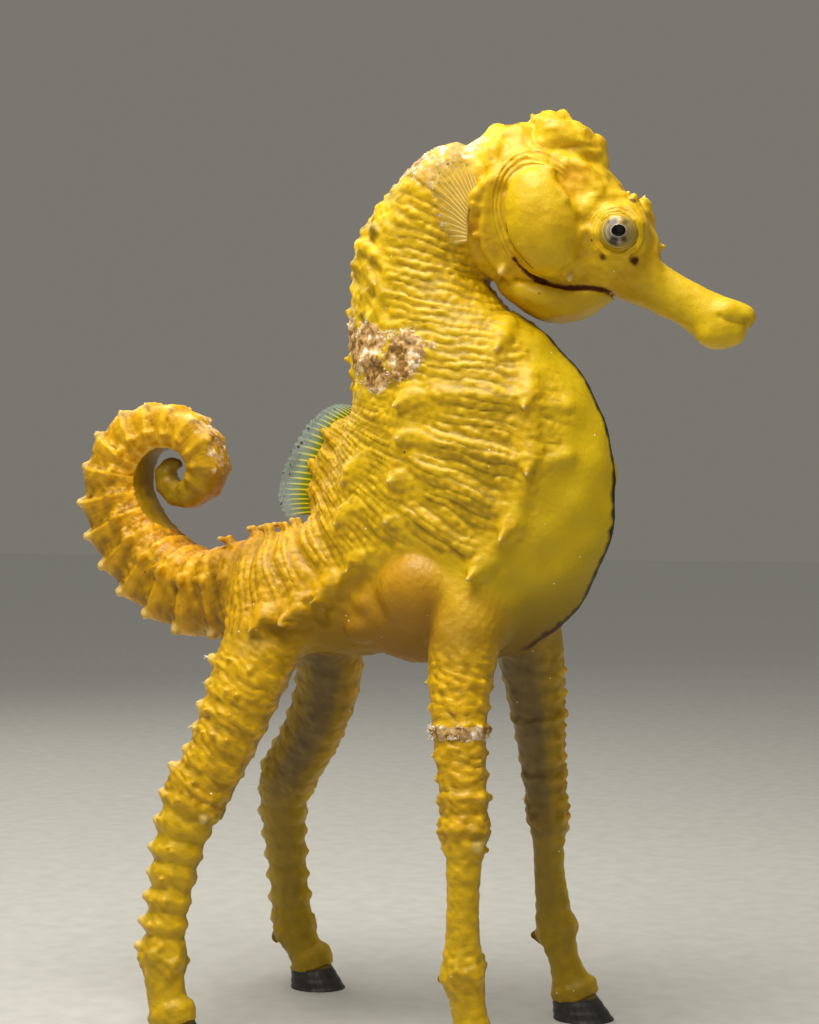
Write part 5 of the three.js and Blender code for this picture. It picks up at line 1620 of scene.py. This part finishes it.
@dataclass(frozen=True)
class Keratin:
    """Worn hoof horn: dark, dense and faintly striated, with a dull polish."""

    name: str = "hoof_keratin"
    horn: Stops = ((0.10, "#1D1B1A"), (0.30, "#2C2926"), (0.48, "#4A4540"))
    crown: str = "#A5831F"
    stria: float = 0.5  # mm between the fine upright lines
    wear: float = 2.2  # mm between scuffs

    def material(self) -> bpy.types.Material:
        """Build the hoof's material."""
        material, add = new_material(self.name)
        place = add("TexCoord", out="Object")
        upright = add("Mapping", {"Vector": place, "Scale": (1.0, 1.0, 0.12)})
        lines, wear = (add("TexNoise", {"Vector": at, "Scale": 1 / (size * MM), "Detail": detail}, "Fac")
                       for at, size, detail in ((upright, self.stria, 3.0), (place, self.wear, 4.0)))
        tone = add("Math", {0: lines, 1: wear}, operation="MULTIPLY")
        colour = add("ValToRGB", {"Fac": tone}, stops=self.horn)
        crown = add("Attribute", out="Fac", attribute_name="crown")
        colour = add("Mix", {0: crown, 6: colour, 7: self.crown}, 2, data_type="RGBA")
        bump = add("Bump", {"Strength": 0.7, "Distance": 0.06 * MM, "Height": lines})
        rough = add("MapRange", {"Value": wear, "To Min": 0.25, "To Max": 0.6})
        shader = add("BsdfPrincipled", {
            "Base Color": colour, "Roughness": rough, "IOR": 1.54, "Normal": bump})
        add("OutputMaterial", {"Surface": shader})
        return material


@dataclass(frozen=True)
class FinWeb:
    """A fin's web: glass-clear skin stretched over soft rays, tinted at the root and clear at the edge."""

    name: str
    ray_root: str
    ray_tip: str
    web_root: str
    web_tip: str
    clear_root: float  # how solid the web looks at the root
    clear_tip: float  # and at its edge
    speck: str = "#2A2A18"
    start: float = 0.15  # how far out the root's colours reach
    speck_gap: float = 1.1  # mm between specks along the edge

    def material(self) -> bpy.types.Material:
        """Build the web's material from its distance out and its rays."""
        material, add = new_material(self.name)
        place = add("TexCoord", out="Object")
        out, ray = (add("Attribute", out="Fac", attribute_name=name) for name in ("out", "ray"))
        faded = add("MapRange", {
            "Value": out, "From Min": self.start + 0.2, "From Max": 0.97, "To Min": 1.0, "To Max": 0.3})
        ray = add("Math", {0: ray, 1: faded}, operation="MULTIPLY")
        rays, web = (add("ValToRGB", {"Fac": out}, stops=((self.start, root), (end, tip)))
                     for root, end, tip in ((self.ray_root, 0.9, self.ray_tip),
                                            (self.web_root, 0.85, self.web_tip)))
        dots = add("TexVoronoi", {"Vector": place, "Scale": 1 / (self.speck_gap * MM)}, "Distance")
        near = add("Math", {0: dots, 1: 0.22}, operation="LESS_THAN")
        rim = add("Math", {0: out, 1: 0.95}, operation="GREATER_THAN")
        speck = add("Math", {0: near, 1: rim}, operation="MULTIPLY")
        colour = web
        for amount, shade in ((ray, rays), (speck, self.speck)):
            colour = add("Mix", {0: amount, 6: colour, 7: shade}, 2, data_type="RGBA")
        solid = add("MapRange", {"Value": out, "From Min": self.start, "From Max": 0.92,
                                 "To Min": self.clear_root, "To Max": self.clear_tip})
        solid = add("Math", {0: ray, 1: 0.38, 2: solid}, operation="MULTIPLY_ADD", use_clamp=True)
        solid = add("Math", {0: solid, 1: speck}, operation="MAXIMUM")
        shader = add("BsdfPrincipled", {
            "Base Color": colour, "Roughness": 0.35, "IOR": 1.36, "Alpha": solid, "Subsurface Weight": 0.2,
            "Subsurface Radius": (1.0, 0.8, 0.4), "Subsurface Scale": 0.6 * MM})
        add("OutputMaterial", {"Surface": shader})
        return material


@dataclass(frozen=True)
class Growth:
    """Fine hydroid growth: cream, half clear threads that catch the light at their tips."""

    name: str = "hydroid_growth"
    tones: Stops = ((0.35, "#E9DCC2"), (0.65, "#FFFBF0"))
    grain: float = 0.5  # mm

    def material(self) -> bpy.types.Material:
        """Build the growth's material."""
        material, add = new_material(self.name)
        place = add("TexCoord", out="Object")
        grain = add("TexNoise", {"Vector": place, "Scale": 1 / (self.grain * MM), "Detail": 2.0}, "Fac")
        colour = add("ValToRGB", {"Fac": grain}, stops=self.tones)
        shader = add("BsdfPrincipled", {
            "Base Color": colour, "Roughness": 0.4, "Subsurface Weight": 0.3,
            "Subsurface Radius": (1.0, 0.9, 0.7), "Subsurface Scale": 0.5 * MM})
        add("OutputMaterial", {"Surface": shader})
        return material


def hang(name: str, data: bpy.types.ID) -> bpy.types.Object:
    """Put a mesh, lamp or camera into the scene under a name."""
    made = bpy.data.objects.new(name, data)
    bpy.context.scene.collection.objects.link(made)
    return made


def make_piece(name: str, solid: Solid, material: bpy.types.Material, station: Station,
               replaced: tuple[str, ...] = (), marks: dict[str, Array] | None = None) -> None:
    """Make one visible piece from a mesh in the body frame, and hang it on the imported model.

    Args:
        name: The piece's name.
        solid: Its mesh.
        material: Its finish.
        station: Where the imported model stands.
        replaced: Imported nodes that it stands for.
        marks: Numbers kept at each point for the material.
    """
    mesh = bpy.data.meshes.new(name)
    quads, triangles = solid.quads, solid.triangles
    starts = np.concatenate([np.arange(len(quads)) * 4, quads.size + np.arange(len(triangles)) * 3])
    mesh.vertices.add(len(solid.points))
    mesh.vertices.foreach_set("co", station.metres(solid.points).astype(np.float32).ravel())
    mesh.loops.add(quads.size + triangles.size)
    corners = np.concatenate([quads.ravel(), triangles.ravel()])
    mesh.loops.foreach_set("vertex_index", corners.astype(np.int32))
    mesh.polygons.add(len(starts))
    mesh.polygons.foreach_set("loop_start", starts.astype(np.int32))
    mesh.polygons.foreach_set("use_smooth", np.ones(len(starts), bool))
    mesh.update(calc_edges=True)
    mesh.validate()
    for mark, values in (marks or {}).items():
        made = mesh.attributes.new(mark, "FLOAT", "POINT")
        made.data.foreach_set("value", values.astype(np.float32))
    mesh.materials.append(material)
    piece = hang(name, mesh)
    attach(piece, "root")
    if replaced:
        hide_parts(*replaced)
    log.info("%s: %d faces", name, len(starts))


# ---- eyes, hooves, fins and growth ---------------------------------------------------------------
@dataclass
class Eye:
    """One eyeball, with a cornea that stands out a little over the iris."""

    head: Head
    label: str
    bulge: float = 0.22  # how far the cornea stands out, mm
    bulge_radius: float = 2.3
    # dark patches of the iris: degrees from straight ahead, half width in degrees, how dark,
    # how far out it reaches
    patches: Rows = (
        (52.0, 17.0, 0.6, 2.1), (118.0, 25.0, 0.9, 2.2), (-58.0, 17.0, 0.85, 2.0), (-117.0, 24.0, 0.9, 2.3))

    def build(self, station: Station, material: bpy.types.Material) -> None:
        """Make the eyeball.

        Args:
            station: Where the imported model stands.
            material: Its finish.
        """
        side, eye_radius = SIDES[self.label], self.head.eye_radius
        gaze = unit(self.head.heading(0.10, side, -0.02))
        across = unit(np.cross(UP, gaze))
        polar, turn = np.linspace(0.01, math.pi - 0.01, 64)[:, None], round_turn(72)
        swell = self.bulge * ease(eye_radius * np.sin(polar), self.bulge_radius, 0.3) * (polar < 1.5)
        radius = eye_radius + swell - 0.02
        flat = np.stack([radius * np.sin(polar) * np.cos(turn), radius * np.sin(polar) * np.sin(turn),
                         radius * np.cos(polar) + 0 * turn], axis=-1)
        t, y, z = self.head.eye_middle
        rings = self.head.place(t, side * y, z) + flat @ np.stack([across, np.cross(gaze, across), gaze])
        aside, up, ahead = np.vstack([flat.reshape(-1, 3), np.zeros((2, 3))]).T
        squat = 1 + 0.2 * ease(np.hypot(aside, up), 2.0, 1.0)
        ring = np.where(ahead > 0, np.hypot(aside, up * squat), Eyeball.radius)
        ring[-2] = 0.0
        bearing = np.arctan2(up, -side * aside)
        upward = np.sin(bearing)
        patch = np.zeros(len(ring))
        for degrees, half, dark, reach in self.patches:
            off = np.abs((np.degrees(bearing) - degrees + 180) % 360 - 180)
            spot = ease(off, half + 8, half - 12) * ease(ring, reach + 0.2, reach - 0.3)
            patch = np.maximum(patch, dark * spot)
        covered = 3.0 - np.where(upward > 0, 0.95, 0.45) * upward**2
        tint = np.clip(ease(np.cos(bearing), -0.3, 0.6) * 0.7 + ease(upward, 0.5, 1.0) * 0.6, 0, 0.8)
        make_piece(f"eyeball_{self.label}", Solid.from_rings(rings), material, station,
                   (f"eye_{self.label}",),
                   {"ring": ring, "patch": patch * ease(ring, 1.2, 1.35),
                    "lid": ease(ring, covered - 0.45, covered + 0.45), "tint": tint * ease(ring, 1.2, 1.4)})


@dataclass
class Hoof:
    """One small hoof: a flared wall of horn with a flat sole."""

    leg: Leg
    height: float = 4.6
    gap: float = 0.3

    def build(self, station: Station, material: bpy.types.Material) -> None:
        """Make the hoof.

        Args:
            station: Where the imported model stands.
            material: Its finish.
        """
        (crown_x, crown_y, _, crown_radius), (sole_x, sole_y, half) = self.leg.crown, self.leg.sole
        top = crown_radius - 0.12
        levels = np.concatenate([[0.0], np.linspace(0.0, 1.0, 26) ** 1.2])[:, None]
        angle = round_turn(96)
        shrink = 1 - 0.16 * ease(levels, 0.86, 1.0) ** 2
        shrink[:2, 0] = 0.55, 0.965
        depth, width = (between(half * low, top * high, levels) for low, high in ((1.06, 1.02), (0.94, 0.94)))
        radius = section_radius(angle, depth, width, np.where(np.cos(angle) > 0, 1.9, 2.3))
        radius = radius * shrink * (1 + 0.012 * np.cos(levels * TURN * 3.2) + 0.008 * np.cos(angle * 23))
        rise = (self.height - self.gap) * levels - 0.35 * levels * (0.5 - 0.5 * np.cos(angle))
        rings = np.stack([between(sole_x, crown_x + 0.2, levels) + radius * np.cos(angle),
                          between(sole_y, crown_y, levels) + radius * np.sin(angle), rise], axis=-1)
        rings[:2, :, 2] = 0.0
        rings[2, :, 2] = np.maximum(rings[2, :, 2], 0.12)
        solid = Solid.from_rings(rings[:, ::-1])
        make_piece(f"horn_{self.leg.name}", solid, material, station, (f"hoof_{self.leg.name}",),
                   {"crown": ease(solid.points[:, 2], self.height - 1.1, self.height - 0.5)})


@dataclass
class Fin:
    """A fin of soft rays in a thin web, laid out flat and then set in its place."""

    name: str
    node: str
    base: Rows  # x, z along the root
    margin: Rows  # x, z along the edge, in the same order
    rays: int
    root_sink: float  # how far the root runs into the flesh, mm
    web: float = 0.10  # half thickness of the web
    ray: float = 0.20  # how much thicker a ray is, to each side
    cup: float = 0.0  # how far the fin's edge curls to one side
    steps: int = 34

    def build(self, station: Station, material: bpy.types.Material, place: Callable[[Array], Array]) -> None:
        """Make the fin.

        Args:
            station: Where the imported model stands.
            material: Its finish.
            place: A function that sets flat points in the body frame.
        """
        shares = np.linspace(0, 1, self.rays * 9 + 1)
        root, edge = through(self.base, shares), through(self.margin, shares)
        root = root + unit(root - edge) * self.root_sink
        beat = np.cos(TURN * (shares * self.rays - 0.5))
        ray = np.clip(beat, 0, 1) ** 2.5
        nicks = np.random.default_rng(71).uniform(-0.02, 0.02, self.rays + 1)
        uneven = np.interp(shares * self.rays, np.arange(self.rays + 1), nicks)
        steps = np.linspace(0, 1, self.steps)[:, None]
        out = steps * (1 + 0.022 * beat + uneven)
        x, z = np.moveaxis(between(root, edge, out[..., None]), -1, 0)
        z = z + np.sin(steps * math.pi) * 0.35 * np.linalg.norm(edge - root, axis=1) * 0.12
        half = self.web * (1 - 0.5 * out) + self.ray * ray * (1 - 0.9 * out)
        half[:, [0, -1]] *= 0.35
        lift = self.cup * out**2 + 0.10 * np.sin(shares * 13) * out
        front, back = (np.stack([x, lift + way * half, z], axis=-1) for way in (1, -1))
        solid = Solid.from_rings(place(np.concatenate([front, back[:, ::-1]], axis=1)))
        marks = {"out": np.append(np.hstack([out, out[:, ::-1]]), [0.0, 1.0]),
                 "ray": np.append(np.tile(np.append(ray, ray[::-1]), self.steps), [0.0, 0.0])}
        make_piece(self.name, solid, material, station, (self.node,), marks)


DORSAL_FIN = Fin(
    "dorsal_fin_web", "dorsal_fin",
    ((-4.0, 99.4), (-5.6, 96.6), (-7.6, 91.8), (-9.4, 86.6), (-10.8, 82.6)),
    ((-7.3, 100.8), (-10.2, 100.3), (-14.0, 97.4), (-17.6, 91.9), (-19.3, 86.6), (-18.0, 82.2)),
    26, 1.6, ray=0.14)
PECTORAL_BASE = ((2.9, 133.6), (1.2, 131.2), (0.5, 127.9), (0.6, 124.4))
PECTORAL_MARGIN = ((2.4, 136.4), (-0.6, 137.6), (-3.6, 136.6), (-4.2, 132.8), (-3.2, 127.8), (-1.0, 123.8))
PECTORAL_SPLAY = math.radians(6)
PECTORAL_HINGE = (4.2, 8.7)  # how far forward and out a pectoral fin turns


def beside_neck(flat: Array, head: Head, side: float) -> Array:
    """Splay a pectoral fin's flat points, move them out and turn them with the head.

    Args:
        flat: The points.
        head: The head that carries the fin.
        side: -1 on the right, 1 on the left.

    Returns:
        The points in the body frame.
    """
    t, out = PECTORAL_HINGE
    x, y, angle = flat[..., 0] - t, flat[..., 1] * side, -side * PECTORAL_SPLAY
    return head.place(t + x * math.cos(angle) - y * math.sin(angle),
                      side * out + x * math.sin(angle) + y * math.cos(angle), flat[..., 2])


@dataclass
class Frills:
    """Growth that stands off the skin: ragged edges of the crusts, and threads on spines."""

    skin: Solid
    outward: Array
    # how many threads grow round each crust, and their usual length in mm
    rims: tuple[tuple[str, int, float], ...] = (
        ("shoulder", 120, 0.6), ("shoulder_far", 90, 0.6), ("nape", 70, 0.5), ("shin_band", 170, 0.8))
    steps: int = 7

    def thread(self, foot: Array, heading: Array, length: float, radius: float, curl: float,
               draw: np.random.Generator) -> Solid:
        """A short curling thread of growth.

        Args:
            foot: Where it grows from.
            heading: The way it sets out.
            length: Its length, mm.
            radius: Its radius at the foot.
            curl: How much it turns at each step.
            draw: The random draw.

        Returns:
            Its mesh.
        """
        way, angle, rings = unit(heading), round_turn(6).T, []
        place = foot - way * radius
        for step in range(self.steps):
            side = unit(np.cross(way, UP + 0.1))
            girth = radius * (1.0 - 0.45 * step / self.steps) * draw.uniform(0.75, 1.3)
            rings.append(place + girth * (np.cos(angle) * side + np.sin(angle) * np.cross(way, side)))
            way = unit(way + curl * draw.normal(size=3))
            place = place + way * length / self.steps
        return Solid.from_rings(np.array(rings))

    def sown(self, mask: Array, count: int, seed: int, length: float) -> list[Solid]:
        """Sow threads over part of the skin.

        Args:
            mask: How likely each point of the skin is to bear one.
            count: How many threads.
            seed: Start of the random draw.
            length: Their usual length, mm.

        Returns:
            The threads.
        """
        draw = np.random.default_rng(seed)
        chosen = draw.choice(len(mask), size=count, p=mask / mask.sum())
        return [self.thread(self.skin.points[i], self.outward[i] + 0.5 * draw.normal(size=3),
                            length * draw.uniform(0.5, 1.5), 0.085 * draw.uniform(0.7, 1.4), 0.75, draw)
                for i in chosen]

    def build(self, station: Station) -> None:
        """Grow all the threads and make one piece of them."""
        threads = []
        for name, count, length in self.rims:
            edge = ease(np.abs(CRUSTS[name].spread(self.skin.points) - 0.35), 0.30, 0.1)
            threads += self.sown(edge, count, 81 + len(name), length)
        draw = np.random.default_rng(97)
        for leg in LEGS:
            for tip in leg.spine_tips:
                for _ in range(draw.integers(1, 3) if tip[2] > 26 and draw.uniform() < 0.4 else 0):
                    out = unit(tip - leg.centre[np.argmin(np.linalg.norm(leg.centre - tip, axis=1))])
                    threads.append(self.thread(tip - 0.15 * out, out + 0.4 * draw.normal(size=3),
                                               draw.uniform(0.6, 1.5), draw.uniform(0.07, 0.12), 0.6, draw))
        first = np.cumsum([0] + [len(s.points) for s in threads[:-1]])
        grown = Solid(np.vstack([s.points for s in threads]),
                      np.vstack([s.quads + n for s, n in zip(threads, first)]),
                      np.vstack([s.triangles + n for s, n in zip(threads, first)]))
        make_piece("crust_frills", grown, Growth().material(), station)


# ---- studio --------------------------------------------------------------------------------------
@dataclass
class Studio:
    """A plain pale floor, soft light and the camera."""

    location: Place = (0.13852, -0.28961, 0.0832)
    azimuth: float = 25.0
    lens: float = 70.3125
    sensor: float = 36.0
    floor_reach: float = 3.0
    floor_colours: tuple[str, str] = ("#ACACA7", "#C4C4BF")
    floor_grain: float = 1 / 0.22  # mm between grains of the paint
    sky: str = "#E9E3D6"
    sky_strength: float = 0.24
    # square lamps: name, where each hangs, what it faces, its side in metres, watts, colour
    lamps: tuple[tuple[str, Place, Place, float, float, str], ...] = (
        ("key", (-0.02, -0.11, 0.37), (0.0, 0.0, 0.09), 0.22, 1.60, "#FFFAF0"),
        ("fill", (0.30, -0.50, 0.26), (0.0, 0.0, 0.08), 0.40, 0.18, "#FFF6E8"),
        ("rim", (-0.34, 0.20, 0.36), (0.0, 0.0, 0.09), 0.30, 0.7, "#FFF8EC"))

    def build(self) -> None:
        """Build the floor, lights and camera."""
        self.floor()
        for name, place, aim, size, power, colour in self.lamps:
            lamp = bpy.data.lights.new(name, "AREA")
            lamp.size, lamp.energy, lamp.color = size, power, linear(colour)[:3]
            hung, ray = hang(name, lamp), np.subtract(aim, place)
            hung.location = place
            tilt = math.acos(-ray[2] / np.linalg.norm(ray))
            hung.rotation_euler = (tilt, 0.0, math.atan2(ray[1], ray[0]) - math.pi / 2)
        lamp = bpy.data.lights.new("ceiling", "SUN")
        lamp.energy, lamp.angle = 0.50, math.radians(60)
        hang("ceiling", lamp)
        world = bpy.data.worlds.new("pale_room")
        world.use_nodes = True
        world.node_tree.nodes.clear()
        sky = add_node(world.node_tree, "Background", {"Color": self.sky, "Strength": self.sky_strength})
        add_node(world.node_tree, "OutputWorld", {"Surface": sky})
        bpy.context.scene.world = world
        camera = hang("camera", bpy.data.cameras.new("camera"))
        camera.data.lens, camera.data.sensor_width = self.lens, self.sensor
        camera.data.clip_start, camera.data.clip_end = 0.01, 20.0
        camera.location = self.location
        camera.rotation_euler = (math.pi / 2, 0.0, math.radians(self.azimuth))
        bpy.context.scene.camera = camera
        bpy.context.scene.view_settings.view_transform = "Standard"

    def floor(self) -> None:
        """Lay the floor: matt paint, so it shows soft shadows and no mirror image."""
        mesh = bpy.data.meshes.new("floor")
        far = self.floor_reach
        mesh.from_pydata([(-far, -far, 0), (far, -far, 0), (far, far, 0), (-far, far, 0)], [], [(0, 1, 2, 3)])
        material, add = new_material("matt_floor")
        place = add("TexCoord", out="Object")
        grain = add("TexNoise", {"Vector": place, "Scale": 1 / (self.floor_grain * MM), "Detail": 3.0}, "Fac")
        dark, light = self.floor_colours
        tone = add("Mix", {0: grain, 6: dark, 7: light}, 2, data_type="RGBA")
        shader = add("BsdfPrincipled", {"Base Color": tone, "Roughness": 0.9})
        add("OutputMaterial", {"Surface": shader})
        mesh.materials.append(material)
        hang("floor", mesh)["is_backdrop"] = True


FLESH_NODES = (
    "trunk", "neck", "brood_pouch", "head", "snout", "throat", "coronet", "gill_cover_right",
    "gill_cover_left",
    *(f"tail_{i}" for i in range(1, 7)),
    *(f"{part}_{leg.name}" for part in ("upper", "cannon", "pastern") for leg in LEGS),
)


def main() -> None:
    """Build the whole model and its studio."""
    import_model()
    packed_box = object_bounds()
    skin = Skin()
    station = Station(skin.head)
    low, high = (station.millimetres(corner) for corner in packed_box)
    flesh = skin.grow(low, high)
    points, faces, paint = skin.dress(flesh)
    hide = Solid(points, faces, np.empty((0, 3), int))
    make_piece("skin", hide, WetHide().material(), station, FLESH_NODES, vars(paint))
    cornea = Eyeball().material()
    for label in SIDES:
        Eye(skin.head, label).build(station, cornea)
    horn = Keratin().material()
    for leg in LEGS:
        Hoof(leg).build(station, horn)
    back_web = FinWeb("back_fin_web", "#EBD60A", "#D8DFA4", "#76860C", "#A2BFB4", 0.85, 0.12, start=0.60)
    DORSAL_FIN.build(station, back_web.material(), lambda flat: flat)
    side_web = FinWeb("side_fin_web", "#EFDC98", "#EAD490", "#E0BE4C", "#E2C35C", 0.50, 0.02, "#E9DCC0")
    for label, side in SIDES.items():
        fin = Fin(f"pectoral_web_{label}", f"pectoral_fin_{label}", PECTORAL_BASE, PECTORAL_MARGIN, 17, 0.8,
                  web=0.09, ray=0.08, cup=-0.5)
        fin.build(station, side_web.material(), partial(beside_neck, head=skin.head, side=side))
    Frills(hide, flesh.outward(points)).build(station)
    Studio().build()


if __name__ == "__main__":
    main()
